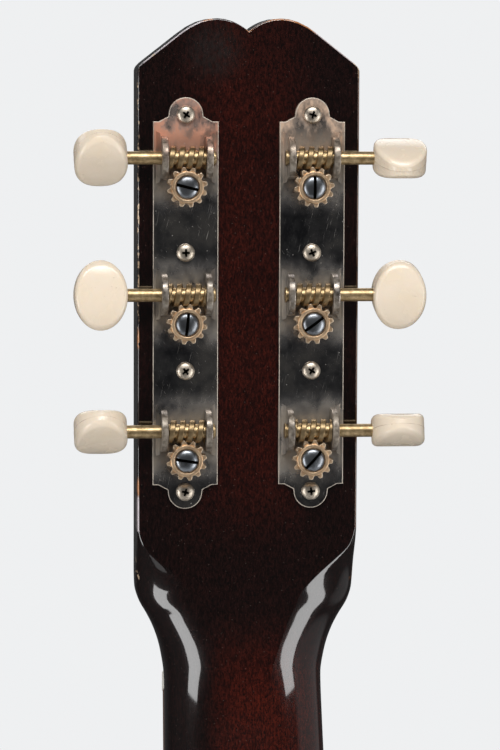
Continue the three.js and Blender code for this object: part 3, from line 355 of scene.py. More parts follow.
def loose(bm):
    """A scene object for the time of a cut."""
    mesh = bpy.data.meshes.new("part")
    bm.to_mesh(mesh)
    bm.free()
    obj = bpy.data.objects.new("part", mesh)
    bpy.context.scene.collection.objects.link(obj)
    return obj


def carved(bm, *tools):
    """The mesh with the tools' shapes cut out of it."""
    target, tool = loose(bm), loose(joined(*tools))
    cut = target.modifiers.new("cut", "BOOLEAN")
    cut.operation = "DIFFERENCE"
    cut.solver = "EXACT"
    cut.object = tool
    done = bmesh.new()
    done.from_object(target, bpy.context.evaluated_depsgraph_get())
    for obj in (target, tool):
        bpy.data.objects.remove(obj)
    return done


def tube(path, radius, sides=10):
    """A round wire along a path."""
    points = [Vector(p) for p in path]
    rings = []
    for i, here in enumerate(points):
        along = (points[min(i + 1, len(points) - 1)] - points[max(i - 1, 0)]).normalized()
        across = along.cross(RIGHT if abs(along.x) < 0.9 else Vector((0, 0, 1))).normalized()
        over = along.cross(across)
        rings.append([here + across * x + over * y for x, y in ring(sides, radius)])
    return skin(rings)


def place(name, bm, spot, look, node=None, body="guitar", sharp=32):
    """Puts a piece in its place: the place goes into the mesh, and the piece rides on a body."""
    moved(bm, Matrix.Scale(MM, 4) @ spot)
    mesh = bpy.data.meshes.new(name)
    bm.to_mesh(mesh)
    bm.free()
    mesh.shade_smooth()
    mesh.set_sharp_from_angle(angle=radians(sharp))
    mesh.materials.append(finish(look))
    obj = bpy.data.objects.new(name, mesh)
    bpy.context.scene.collection.objects.link(obj)
    normals = obj.modifiers.new("normals", "WEIGHTED_NORMAL")
    normals.keep_sharp = True
    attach(obj, body)
    if node:
        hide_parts(node)


def dress(node, look):
    """Gives a CAD node that stays in view its finish."""
    mesh = frame["nodes"][node].data
    mesh.materials.clear()
    mesh.materials.append(finish(look))


# Finishes


class Finish:
    """A material being mixed: each call adds a node and gives what comes out of it."""

    def __init__(self, name, values):
        self.material = bpy.data.materials.new(name)
        self.material.use_nodes = True
        self.tree = self.material.node_tree
        self.shader = self.tree.nodes["Principled BSDF"]
        self.set(self.shader, values)

    def set(self, node, values):
        """Sets a node's inputs, or links them to what another node gives."""
        for key, value in values.items():
            socket = node.inputs[key]
            if isinstance(value, bpy.types.NodeSocket):
                self.tree.links.new(value, socket)
            elif socket.type == "RGBA" and len(value) == 3:
                socket.default_value = (*value, 1)
            else:
                socket.default_value = value

    def node(self, kind, values=None, **settings):
        node = self.tree.nodes.new("ShaderNode" + kind)
        for key, value in settings.items():
            setattr(node, key, value)
        self.set(node, values or {})
        return node

    def coordinates(self, size, turn=(0, 0, 0), along=None):
        """Places on the piece, measured in grains of this size, in metres."""
        if along:
            where = self.node("Attribute", attribute_name=along).outputs["Vector"]
        else:
            where = self.node("TexCoord").outputs["Object"]
        size = size if isinstance(size, tuple) else (size,) * 3
        values = {"Vector": where, "Scale": size, "Rotation": [radians(a) for a in turn]}
        return self.node("Mapping", values, vector_type="TEXTURE").outputs["Vector"]

    def noise(self, size, detail=3, rough=0.5, **where):
        values = {"Vector": self.coordinates(size, **where), "Scale": 1, "Detail": detail, "Roughness": rough}
        return self.node("TexNoise", values).outputs["Fac"]

    def specks(self, size, **where):
        """Distance to the nearest of scattered points, in grains."""
        values = {"Vector": self.coordinates(size, **where), "Scale": 1}
        return self.node("TexVoronoi", values).outputs["Distance"]

    def ramp(self, share, *stops):
        """Colours or greys along a scale, each stop being (place, value)."""
        node = self.node("ValToRGB", {"Fac": share})
        elements = node.color_ramp.elements
        while len(elements) < len(stops):
            elements.new(0.5)
        for element, (at, value) in zip(elements, stops):
            element.position = at
            element.color = (*value, 1) if isinstance(value, tuple) else (value, value, value, 1)
        return node.outputs["Color"]

    def mix(self, share, a, b, how="MIX"):
        return self.node("Mix", {0: share, 6: a, 7: b}, data_type="RGBA", blend_type=how).outputs[2]

    def darker(self, share, color, tint):
        """The colour with a share of it multiplied by a tint."""
        return self.mix(share, color, self.mix(1.0, color, tint, "MULTIPLY"))

    def math(self, what, a, b):
        return self.node("Math", {0: a, 1: b}, operation=what, use_clamp=what != "SUBTRACT").outputs[0]

    def times(self, a, b):
        return self.math("MULTIPLY", a, b)

    def most(self, *values):
        return reduce(lambda a, b: self.math("MAXIMUM", a, b), values)

    def edge(self):
        return self.node("Attribute", attribute_name="edge").outputs["Fac"]

    def axis(self, name):
        """One coordinate of the piece, in metres."""
        return self.node("SeparateXYZ", {"Vector": self.coordinates(1.0)}).outputs[name]

    def span(self, value, low, high):
        """How far a value has come from low to high, from 0 to 1, eased."""
        values = {"Value": value, "From Min": low, "From Max": high}
        return self.node("MapRange", values, interpolation_type="SMOOTHSTEP").outputs["Result"]

    def done(self, color, rough, height, depth, **shader):
        """The finished material, with a relief as deep as depth in metres."""
        relief = self.node("Bump", {"Height": height, "Distance": depth}).outputs["Normal"]
        self.set(self.shader, {"Base Color": color, "Roughness": rough, "Normal": relief, **shader})
        return self.material


def lacquer(name, along=None):
    """Dark reddish-brown lacquer over straight-grained wood, rubbed through at the edges, with a whitish edge
    line that is partly a painted highlight.
    """
    look = bpy.context.scene.guitar_finishes
    f = Finish(name, {"Coat Weight": 1, "Coat Roughness": 0.06, "Coat IOR": 1.65, "Specular IOR Level": 0.1})
    where = {"along": along}
    streaks = f.noise((0.0006, 0.0006, 0.0018), 5, 0.75, **where)
    pores = f.noise((0.0003, 0.0003, 0.0007), 3, 0.6, **where)
    clouds = f.noise((0.012, 0.012, 0.05), 2, 0.5, **where)
    wear = f.node("Attribute", attribute_name="wear").outputs
    parts = f.node("SeparateColor", {"Color": wear["Color"]}).outputs
    red = f.times(wear["Alpha"], f.ramp(clouds, (0.3, 0.55), (0.75, 1.0)))
    color = f.mix(red, look.lacquer, look.lacquer_red)
    color = f.darker(f.ramp(streaks, (0.4, 0.0), (0.58, 0.95)), color, (0.24, 0.18, 0.17))
    color = f.darker(f.ramp(pores, (0.52, 0.0), (0.62, 0.9)), color, (0.1, 0.08, 0.08))
    dust = f.ramp(f.specks(0.0016, **where), (0.05, 0.35), (0.09, 0.0))
    color = f.mix(dust, color, (0.16, 0.12, 0.1))
    rough = f.noise((0.0004, 0.0004, 0.0012), 3, 0.7, **where)
    chips = f.noise((0.0011, 0.0011, 0.0022), 3, 0.6, **where)
    # The blue channel paints the whitish edge line: worn lacquer, and partly a painted highlight.
    for channel, threshold, tone in (
        ("Blue", 0.3, (0.5, 0.44, 0.46)),
        ("Red", 0.32, look.bare_wood),
        ("Green", 0.5, (0.62, 0.45, 0.3)),
    ):
        amount = f.times(parts[channel], f.ramp(chips, (threshold, 0.0), (threshold + 0.08, 1.0)))
        color = f.mix(f.span(amount, 0.25, 0.6), color, tone)
    if along:
        grain = f.node("Attribute", attribute_name=along).outputs["Vector"]
        away = f.node("VectorMath", {0: grain, 1: SMUDGE}, operation="DISTANCE").outputs["Value"]
        smudge = f.times(f.span(away, 0.011, 0.001), f.ramp(clouds, (0.3, 0.25), (0.6, 0.6)))
        smudge = f.times(smudge, f.ramp(chips, (0.35, 0.3), (0.6, 1.0)))
        color = f.mix(smudge, color, (0.018, 0.017, 0.016))
    ripple = f.noise((0.004, 0.004, 0.012), 2, 0.5, **where)
    height = f.math("ADD", f.times(rough, 0.025), f.times(ripple, 0.9))
    return f.done(color, f.ramp(rough, (0.3, 0.22), (0.7, 0.34)), height, 0.0001)


def plate_metal(name):
    """Old nickel plate: near the top copper shows through, its pink tone also a painted reflection of a warm
    wall, and it is dull grey and scratched below.
    """
    look = bpy.context.scene.guitar_finishes
    f = Finish(name, {})
    where = {"turn": (17, 0, 0)}
    clouds = f.noise(0.009, 4, 0.6, **where)
    fine = f.noise(0.0012, 3, 0.6, **where)
    patches = f.noise((0.005, 0.005, 0.008), 4, 0.65, **where)
    height, across = f.axis("Z"), f.axis("X")
    # Near the top: copper showing through, and a painted reflection of a warm wall, rougher and less metallic.
    blush = f.times(f.span(height, 0.128, 0.14), f.ramp(patches, (0.42, 1.0), (0.62, 0.2)))
    row = (BACK @ Vector((0, POST_MIDDLE + 5, 0))).z * MM
    from_row = f.math("PINGPONG", f.math("SUBTRACT", height, row), POST_PITCH / 2 * cos(LEAN) * MM)
    haze = f.times(f.span(from_row, 0.013, 0.004), f.ramp(patches, (0.3, 0.15), (0.6, 0.9)))
    color = f.ramp(clouds, (0.34, (0.12, 0.12, 0.13)), (0.5, (0.32, 0.31, 0.31)), (0.66, (0.6, 0.56, 0.52)))
    color = f.mix(haze, color, (0.34, 0.29, 0.23))
    color = f.mix(blush, color, f.mix(f.span(across, -0.005, 0.005), look.copper_and_warm_reflection, (0.66, 0.47, 0.34)))
    scratches, others = (
        f.ramp(f.noise((0.00012, 0.00012, length), 2, 0.5, turn=(17, slant, 0)), (low, 0.0), (high, tone))
        for length, slant, low, high, tone in ((0.006, 14, 0.67, 0.75, 0.45), (0.004, -38, 0.69, 0.76, 0.4))
    )
    specks = f.ramp(f.specks(0.0022, **where), (0.04, 0.6), (0.08, 0.0))
    marks = f.most(scratches, others, specks)
    color = f.mix(marks, color, (0.62, 0.58, 0.52))
    rubbed = f.times(f.edge(), f.ramp(fine, (0.3, 0.45), (0.55, 1.0)))
    color = f.mix(rubbed, color, (0.64, 0.56, 0.47))
    grimy = f.ramp(f.edge(), (0.03, 0.0), (0.14, 1.0), (0.45, 1.0), (0.7, 0.0))
    grime = f.times(grimy, f.ramp(fine, (0.4, 0.15), (0.6, 0.85)))
    color = f.mix(grime, color, (0.12, 0.095, 0.07))
    dull = f.most(blush, rubbed, haze, marks)
    # Painted shade: faces marked below zero go near-black, as in a recess.
    color = f.mix(f.times(f.edge(), -1), color, (0.02, 0.015, 0.01))
    metallic = f.ramp(dull, (0.0, 1.0), (1.0, 0.45))
    rough = f.ramp(dull, (0.0, 0.17), (1.0, 0.5))
    return f.done(color, rough, f.times(fine, 0.5), 0.00003, Metallic=metallic)


def metal(name, dark, light, grain, rough, ring_lines=0.0, rubbed=None):
    """Worn metal between two tones, with painted shade in its recesses and brighter edges."""
    f = Finish(name, {"Metallic": 1})
    clouds = f.noise(grain, 4, 0.6)
    fine = f.noise(grain * 0.2, 3, 0.6)
    color = f.mix(f.ramp(clouds, (0.3, 0.0), (0.7, 1.0)), dark, light)
    stain = f.ramp(f.noise(grain * 0.6, 3, 0.7), (0.56, 0.0), (0.7, 0.7))
    color = f.mix(stain, color, f.mix(0.6, color, (0.05, 0.035, 0.02)))
    color = f.mix(f.times(f.edge(), 0.7), color, rubbed or f.mix(0.5, light, (1.0, 0.93, 0.8)))
    # Painted shade: faces marked below zero, the screws' slots and crosses, go near-black.
    color = f.mix(f.times(f.edge(), -1), color, (0.012, 0.01, 0.008))
    height = f.times(fine, 0.6)
    if ring_lines:
        height = f.math("ADD", height, f.times(f.noise((ring_lines, 0.02, 0.02), 2, 0.5), 0.6))
    low, high = rough
    return f.done(color, f.ramp(fine, (0.3, low), (0.7, high)), height, 0.00002)


def cream_plastic(name):
    """Aged cream plastic with soft gloss, a little dirt in its nicks and a yellower tone in patches."""
    look = bpy.context.scene.guitar_finishes
    soft = {"Subsurface Weight": 0.12, "Subsurface Scale": 0.002, "Subsurface Radius": (1, 0.7, 0.4)}
    f = Finish(name, {"IOR": 1.5, **soft})
    clouds = f.noise(0.007, 3, 0.5)
    color = f.mix(f.ramp(clouds, (0.3, 0.0), (0.7, 1.0)), look.cream, look.cream_aged)
    nicks = f.noise((0.0022, 0.0006, 0.0004), 3, 0.6)
    color = f.mix(f.ramp(nicks, (0.7, 0.0), (0.74, 0.6)), color, (0.3, 0.16, 0.07))
    seam = f.times(f.edge(), f.ramp(f.noise((0.004, 0.003, 0.003), 3, 0.6), (0.42, 0.2), (0.6, 1.0)))
    color = f.mix(seam, color, (0.33, 0.19, 0.1))
    fine = f.noise(0.0006, 2, 0.5)
    return f.done(color, f.ramp(clouds, (0.3, 0.2), (0.7, 0.32)), fine, 0.00002)


def gloss_plastic(name):
    """Black plastic with a shallow haze and hair-fine scratches."""
    f = Finish(name, {"IOR": 1.5})
    clouds = f.noise(0.01, 4, 0.6)
    scratches = f.ramp(f.noise((0.0002, 0.01, 0.0002), 2, 0.5, turn=(0, 35, 0)), (0.64, 0.0), (0.72, 0.25))
    color = f.mix(scratches, f.mix(clouds, (0.008, 0.008, 0.008), (0.02, 0.019, 0.018)), (0.09, 0.09, 0.09))
    color = f.mix(f.times(f.edge(), 0.5), color, (0.06, 0.06, 0.06))
    rough = f.math("ADD", f.ramp(clouds, (0.3, 0.12), (0.7, 0.22)), scratches)
    return f.done(color, rough, f.noise(0.001, 2), 0.00001)


def oiled_rosewood(name):
    """Oiled wood with long streaks and open pores."""
    f = Finish(name, {"IOR": 1.45, "Specular IOR Level": 0.3})
    streaks = f.noise((0.0009, 0.0009, 0.035), 4, 0.6)
    pores = f.noise((0.00025, 0.00025, 0.0045), 2, 0.5)
    dark, middle, light = (0.022, 0.011, 0.007), (0.05, 0.024, 0.014), (0.1, 0.05, 0.026)
    color = f.ramp(streaks, (0.3, dark), (0.5, middle), (0.72, light))
    pore = f.ramp(pores, (0.56, 0.0), (0.64, 1.0))
    color = f.mix(pore, color, (0.012, 0.007, 0.005))
    return f.done(color, f.ramp(streaks, (0.3, 0.42), (0.7, 0.55)), f.math("SUBTRACT", 1.0, pore), 0.00006)


def polished_bone(name):
    """Polished bone, yellower in its clouds."""
    f = Finish(name, {"IOR": 1.5, "Subsurface Weight": 0.1, "Subsurface Scale": 0.002})
    clouds = f.noise((0.004, 0.001, 0.001), 3, 0.6)
    color = f.ramp(clouds, (0.3, (0.55, 0.48, 0.34)), (0.55, (0.72, 0.66, 0.52)), (0.8, (0.8, 0.76, 0.65)))
    return f.done(color, f.ramp(clouds, (0.3, 0.3), (0.7, 0.42)), f.noise(0.0005, 2), 0.00002)


def pearl(name):
    """Swirled pearl under a thin gloss."""
    f = Finish(name, {"IOR": 1.5, "Coat Weight": 0.5, "Coat Roughness": 0.1})
    swirl = f.noise((0.002, 0.002, 0.004), 4, 0.7)
    color = f.ramp(swirl, (0.3, (0.5, 0.49, 0.44)), (0.5, (0.72, 0.72, 0.66)), (0.7, (0.62, 0.66, 0.64)))
    return f.done(color, 0.25, swirl, 0.00002)


def string_wire(name, wound=0.0):
    """Plain steel, or a winding whose turns run round the string."""
    f = Finish(name, {"Metallic": 1})
    clouds = f.noise((0.002, 0.002, 0.03), 3, 0.6)
    color = f.mix(clouds, (0.34, 0.31, 0.27), (0.62, 0.6, 0.56))
    if not wound:
        return f.done(color, 0.28, clouds, 0.00001)
    values = {"Vector": f.coordinates(wound), "Scale": 1}
    turns = f.node("TexWave", values, bands_direction="Z", wave_profile="SIN").outputs["Fac"]
    # Painted shade: the grooves between the winding's turns are darkened.
    color = f.mix(f.ramp(turns, (0.0, 0.8), (0.4, 0.0)), color, (0.06, 0.05, 0.04))
    return f.done(color, 0.34, turns, 0.00012)


def pale_floor(name):
    """A matt floor in the backdrop's tone, a little darker in clouds."""
    tone = bpy.context.scene.guitar_finishes.backdrop
    f = Finish(name, {})
    grain = f.noise(0.05, 3, 0.5)
    return f.done(f.mix(grain, tone, tuple(c * 0.97 for c in tone)), 0.8, grain, 0.0002)


FINISHES = {
    "neck_lacquer": lambda name: lacquer(name, "grain"),
    "body_lacquer": lacquer,
    "plate_nickel": plate_metal,
    "screw_nickel": lambda name: metal(name, (0.42, 0.36, 0.29), (0.68, 0.6, 0.5), 0.0016, (0.34, 0.48)),
    "nickel": lambda name: metal(name, (0.4, 0.37, 0.33), (0.7, 0.66, 0.6), 0.008, (0.14, 0.3)),
    "worm_brass": lambda name: metal(
        name, (0.31, 0.21, 0.1), (0.66, 0.5, 0.29), 0.0014, (0.36, 0.5), 0.0001, (0.2, 0.14, 0.075)
    ),
    "gear_bronze": lambda name: metal(name, (0.62, 0.41, 0.25), (0.94, 0.7, 0.46), 0.0024, (0.36, 0.5)),
    "blued_steel": lambda name: metal(name, (0.15, 0.155, 0.165), (0.28, 0.3, 0.325), 0.004, (0.28, 0.36)),
    "cream_plastic": cream_plastic,
    "black_plastic": gloss_plastic,
    "rosewood": oiled_rosewood,
    "bone": polished_bone,
    "pearl": pearl,
    "plain_wire": string_wire,
    "wound_wire_4": lambda name: string_wire(name, 0.0011),
    "wound_wire_5": lambda name: string_wire(name, 0.0015),
    "wound_wire_6": lambda name: string_wire(name, 0.0019),
    "floor": pale_floor,
}


def finish(name):
    """The named material, mixed the first time it is asked for."""
    return bpy.data.materials.get(name) or FINISHES[name](name)


# What a user can change


def length_prop(name, millimetres, about):
    size = millimetres * MM
    return FloatProperty(name=name, description=about, default=size, min=0, unit="LENGTH", precision=5)


def color_prop(name, value, about):
    return FloatVectorProperty(name=name, description=about, default=value, min=0, max=1, subtype="COLOR")


def power_prop(name, watts, about):
    return FloatProperty(name=name, description=about, default=watts, unit="POWER")


class GuitarSizes(bpy.types.PropertyGroup):
    """Sizes that can change without touching the frame."""

    edge_round: length_prop("Headstock edges", 0.5, "Rounding of the headstock's edges")
    body_round: length_prop("Body edges", 5.5, "Rounding of the body's edges")
    button_ease: length_prop("Button edges", 1.35, "Rounding between a tuner button's face and its rim")
    fret_height: length_prop("Fret height", 1.1, "Height of the frets' crowns above the fingerboard")
    dot_radius: length_prop("Dot radius", 3.2, "Radius of the fingerboard's position dots")
    string_turns: IntProperty(
        name="String turns", description="Turns of each string round its post", default=3, min=1
    )


class GuitarFinishes(bpy.types.PropertyGroup):
    """Colours of the main finishes and the level of the lamps."""

    lacquer: color_prop("Lacquer", (0.008, 0.0029, 0.0026), "Lacquer where it is darkest")
    lacquer_red: color_prop("Red lacquer", (0.09, 0.0098, 0.0036), "Lacquer where the wood shows red")
    bare_wood: color_prop("Bare wood", (0.42, 0.17, 0.06), "Wood where the lacquer has rubbed off")
    # This tint also paints the warm reflection that the plates show near their top.
    copper_and_warm_reflection: color_prop("Copper blush", (0.72, 0.35, 0.23), "Copper that shows through the plates' nickel")
    cream: color_prop("Cream", (0.86, 0.74, 0.6), "Tuner buttons and pickup cover")
    cream_aged: color_prop("Aged cream", (0.83, 0.7, 0.54), "Yellowed patches of the cream plastic")
    backdrop: color_prop("Backdrop", (0.86, 0.87, 0.88), "Floor and backdrop")
    key_watts: power_prop("Side lamps", 7.5, "Power of each tall side lamp")
    top_watts: power_prop("Wide lamps", 17, "Power of the wide lamps over the headstock and before the front")


# Neck and fingerboard


def neck_half(z):
    return mixed(NUT_WIDTH, 56, z / BOARD_END) / 2


def board_top(x):
    return BOARD_THICK - x * x / (2 * BOARD_RADIUS)


def fret_z(n):
    return -SCALE * (1 - 2 ** (-n / 12))


def top_edge(x, half):
    """How far up the headstock its top edge is: two humps with a notch between, slopes and eased corners."""
    x = abs(x)
    if x < CREST_X:
        return HEAD_CREST - 3.4 * ((CREST_X - x) / CREST_X) ** 2
    if x < SLOPE_X:
        return HEAD_CREST - 3.8 * ((x - CREST_X) / (SLOPE_X - CREST_X)) ** 2
    slope = mixed(HEAD_CREST - 3.8, HEAD_CORNER, (x - SLOPE_X) / (HEAD_HALF - SLOPE_X))
    corner = 1.2
    past = max(x - (half - corner), 0)
    return slope - (corner - sqrt(max(corner**2 - past**2, 0)))


def neck_row(up):
    """Half-width, half of the flat back, depth, straight side and roll of the neck's section at a height."""
    if up >= -25:
        return row_at(HEAD_ROWS, min(up, HEAD_BASE))
    z = up + NUT_THICK
    depth = mixed(15.6, 17.6, z / HEEL_START)
    if z >= HEEL_START:
        return [neck_half(z), 4, depth, 2.6, 90]
    t = (z - HEEL_START) / (NECK_JOINT - HEEL_START)
    swell = 1 - sqrt(1 - min(t, 0.9999) ** 3)
    return [neck_half(z), mixed(4, 19, t * t), mixed(17.6, 39.5, swell), mixed(2.6, 10, swell), 90]


def half_section(half, flat, depth, wall, roll, edge):
    """Half a section's front and back, from the middle out: as many points each, as (across, depth, rim)."""
    widest = COLUMNS[-1]
    front = [(x / widest * (half - edge), 0, 0) for x in COLUMNS]
    back = [(x / widest * flat, depth, 0) for x in COLUMNS]
    end = radians(roll)
    for k in range(1, ROLL_STEPS + 1):
        turn = pi / 2 * k / ROLL_STEPS
        front.append((half - edge + edge * sin(turn), edge - edge * cos(turn), 1))
        turn = end * (1 - k / ROLL_STEPS)
        inward = (1 - cos(turn)) / (1 - cos(end))
        back.append((mixed(half, flat, inward), mixed(wall, depth, sin(turn) / sin(end)), 1))
    return [*front, (half, edge + 1.2, 0)], [*back, (half, wall - 1.2, 0.7)]


def on_neck(x, depth, up):
    """A point of the neck, from how far across, how deep behind its front and how far up it is."""
    along = max(up, 0)
    front = Vector((x, -along * sin(LEAN), NUT_THICK + min(up, 0) + along * cos(LEAN)))
    lean = LEAN if up > 0 else 0
    if abs(up) >= FOLD_REACH:
        return front - depth * Vector((0, cos(lean), sin(lean)))
    fold = Vector((x, -FOLD_DEPTH, NUT_THICK - FOLD_DEPTH * tan(LEAN / 2)))
    reach = FOLD_REACH - FOLD_DEPTH * tan(LEAN / 2)
    share = (up / FOLD_REACH + 1) / 2
    below, above = fold - Vector((0, 0, reach)), fold + reach * Vector((0, -sin(LEAN), cos(LEAN)))
    back = below * (1 - share) ** 2 + fold * 2 * share * (1 - share) + above * share**2
    return front + (back - front) * depth / FOLD_DEPTH


def whole_loop(front, back):
    """The loop of points round the neck, from its right half's front and back."""
    left_front, left_back = ([(-x, *rest) for x, *rest in side[1:]] for side in (front, back))
    return [*reversed(left_front), *front, *reversed(back), *left_back]


def neck_rows(edge_round):
    """Rows of (across, depth, up, rim) round the neck, from the heel to the headstock's top."""
    heel = [mixed(NECK_JOINT + 0.2, HEEL_START, (k / 16) ** 1.5) - NUT_THICK for k in range(16)]
    shaft = [mixed(HEEL_START - NUT_THICK, -26, k / 12) for k in range(13)]
    throat = [-24 + k for k in range(HEAD_BASE + 24)]
    rows = []
    for up in [*heel, *shaft, *throat]:
        edge = mixed(0.1, edge_round, eased_share((up - 2) / 10))
        rim = eased_share((up - 22) / 4)
        front, back = half_section(*neck_row(up), edge)
        front = [(x, d, up, r * rim * 0.3) for x, d, r in front]
        rows.append(whole_loop(front, [(x, d, up, r * rim * (d < 9)) for x, d, r in back]))
    blade = [(k / 34, 0, 0) for k in range(34)] + [(1, pi / 2 * k / 4, 0) for k in range(5)]
    near, far = edge_round, HEAD_THICK - edge_round
    for share, turn, inset in [*blade, (1, pi / 2, 0.4), (1, pi / 2, HEAD_THICK / 2 - near)]:
        half = mixed(HEAD_BASE_HALF, HEAD_HALF, share)
        front, back = half_section(half, half - near, HEAD_THICK, far, 90, near)
        fall = cos(turn)
        sides = []
        for points, face in ((front, 0), (back, HEAD_THICK)):
            line = []
            for x, d, rim in points:
                top = top_edge(x, half) - edge_round
                up = mixed(HEAD_BASE, top, share) + edge_round * sin(turn)
                if face == 0:
                    d = max(mixed(near, d, fall) if d < near else d, near + inset if inset else 0)
                else:
                    d = min(mixed(far, d, fall) if d > far else d, far - inset if inset else HEAD_THICK)
                line.append((x, d, up, 0 if inset else max(rim, turn > 0) * (1 if face else 0.3)))
            sides.append(line)
        rows.append(whole_loop(*sides))
    return rows


def edge_wear(x, up, rim):
    """How much orange wood, cream chips and whitish line the rim shows, the line being worn lacquer and partly
    a painted edge highlight, and how red the lacquer is.
    """

    def near(value, middle, reach):
        return max(0, 1 - abs(value - middle) / reach)

    slope = eased_share((up - 161) / 3) * eased_share((abs(x) - 9) / 3)
    left = x < 0
    orange = max(
        0.35 * (not left),
        1.5 * near(x, 11, 9) * (up > 165),
        1.4 * near(x, -11.4, 2) * (up > 165),
        left * max(near(up, 91, 4), near(up, 51.5, 4)),
        0.55 * near(x, 0, 3) * (up > 165),
    )
    cream = max(
        left * 0.62 * (93 < up < 162),
        left * max(near(up, 32.5, 3), near(up, 27.5, 2.5)) * 1.1,
        near(x, -25.4, 2.6) * (up > 160),
        near(x, -16.7, 1.4) * (up > 160),
        near(x, 28.6, 1.6) * (up > 158),
    )
    # The whitish line is worn lacquer and partly a painted highlight along the edge.
    white_wear_and_highlight = max(0.6 * slope, left * 0.9 * (34 < up < 50), 0.3 * (up > 60) * left)
    red_head = 0.5 * max(0, 1 - (abs(x) / 20) ** 2) * eased_share((up - 30) / 35)
    red_head *= 1 - 0.5 * eased_share((up - 145) / 25)
    red_neck = 0.95 * max(0, 1 - ((x - 6) / 17) ** 4) * eased_share((20 - up) / 34)
    return orange * rim, cream * rim, white_wear_and_highlight * rim, 0.06 + min(0.94, red_head + red_neck)


class GUITAR_OT_neck(bpy.types.Operator):
    """Build the neck and headstock."""

    bl_idname = "guitar.neck"
    bl_label = "Neck"

    def execute(self, context):
        sizes = context.scene.guitar_sizes
        rows = neck_rows(sizes.edge_round / MM)
        rows = [[*row, row[0]] for row in [[(x, HEAD_THICK, u, 0) for x, _, u, _ in rows[0]], *rows]]
        bm = laid([[on_neck(*p[:3]) for p in row] for row in rows])
        grain = bm.verts.layers.float_vector.new("grain")
        rims = bm.verts.layers.float.new("rim")
        for vert, (x, depth, up, rim) in zip(bm.verts, chain.from_iterable(rows)):
            vert[grain] = (x * MM, depth * MM, up * MM)
            vert[rims] = rim
        welded(bm)
        bm = carved(bm, *(moved(rod(POST_HOLE, -40, 10), tuner_frame(name)) for name in TUNERS))
        grain, rims = bm.verts.layers.float_vector["grain"], bm.verts.layers.float["rim"]
        wear = bm.verts.layers.float_color.new("wear")
        for vert in bm.verts:
            x, _, up = vert[grain] / MM
            vert[wear] = edge_wear(x, up, vert[rims])
        ends = (NECK_JOINT + 1, BOARD_END)
        half = [(0, ends[0]), *((neck_half(z), z) for z in ends), (0, ends[1])]
        tongue = prism(mirrored(half), 0, 2.8, 0.3, both=True)
        joined(bm, moved(tongue, frame_of((1, 0, 0), (0, 0, 1), (0, -1, 0))))
        place("neck_wood", bm, GUITAR, "neck_lacquer", "neck", sharp=40)
        return {"FINISHED"}


def board_section(z):
    """A section across the fingerboard, with its corners eased."""
    half = neck_half(z)
    top = [(share * half, board_top(share * half)) for share in (k / 8 for k in range(-8, 9))]
    return [(x, y, z) for x, y in eased([(-half, 0.2), *top, (half, 0.2)], 0.35, 2, closed=True)]


def fret(n, high):
    """The bead of one fret, which follows the fingerboard's curve and falls off at both ends."""
    z = fret_z(n)
    half = neck_half(z) - 0.25
    bead = [(FRET_HALF * cos(a), high * sin(a) ** 0.8) for a in (pi * k / 8 for k in range(9))]
    rings = []
    for share in (k / 8 - 1 for k in range(17)):
        x = half * share
        lift = high * max(0, abs(share) - 0.97) * 20
        rings.append([(x, board_top(x) - 0.05 + max(y - lift, 0.02), z + dz) for dz, y in bead])
    return skin(rings)


class GUITAR_OT_fingerboard(bpy.types.Operator):
    """Build the fingerboard, frets and dots."""

    bl_idname = "guitar.fingerboard"
    bl_label = "Fingerboard"

    def execute(self, context):
        sizes = context.scene.guitar_sizes
        board = skin([board_section(z) for z in (-0.2, BOARD_END / 2, BOARD_END)])
        place("fingerboard", board, GUITAR, "rosewood", "fretted_fingerboard", sharp=25)
        frets = [fret(n, sizes.fret_height / MM) for n in range(1, FRETS + 1)]
        place("frets", joined(*frets), GUITAR, "nickel")
        radius = sizes.dot_radius / MM
        profile = eased([(0, -1), (radius, -1), (radius, 0.06), (0, 0.08)], 0.05)
        dots = []
        for n in DOT_FRETS:
            z = (fret_z(n) + fret_z(n - 1)) / 2
            for x in (-9.5, 9.5) if n == 12 else (0,):
                dots.append(moved(turned(profile, 32), facing_front(x, board_top(x), z)))
        place("position_dots", joined(*dots), GUITAR, "pearl")
        dress("nut", "bone")
        dress("truss_rod", "blued_steel")
        return {"FINISHED"}


def cross_recess(half, width, top, deep):
    """A tapering cross that cuts a screw's recess, its faces marked to be painted near-black as shade."""
    arm = [(half, -width), (half, width), (width * 1.2, width * 1.2)]
    points = [Matrix.Rotation(pi / 2 * k, 2) @ Vector(p) for k in range(4) for p in arm]
    bm = prism(points, top - deep, top + 1)
    for vert in bm.verts:
        if vert.co.z < top:
            vert.co.x *= 0.7
            vert.co.y *= 0.7
    return mark_wear_and_shade(bm, bm.faces, -1)


def screw(head, dome, shank, reach, slot=0, sides=40):
    """A domed screw with its head on z = 0, cut for a straight driver if it has a slot, else for a cross."""
    rim = [pi / 2 * (1 - k / 8) for k in range(8)]
    profile = [(0, -reach), (shank, -reach), (shank, 0), (head * 0.97, 0)]
    profile += [(head * sin(a) ** 0.9, dome * (0.18 + 0.82 * cos(a))) for a in rim] + [(0, dome)]
    bm = turned(eased(profile, 0.12, 2), sides)
    if not slot:
        return carved(bm, cross_recess(head * 0.52, head * 0.13, dome, dome * 0.8))
    # The slot's faces are marked to be painted near-black, as painted shade in the slot.
    tool = block(-head - 1, head + 1, -slot / 2, slot / 2, dome * 0.3, dome + 1)
    return carved(bm, mark_wear_and_shade(tool, tool.faces, -1))


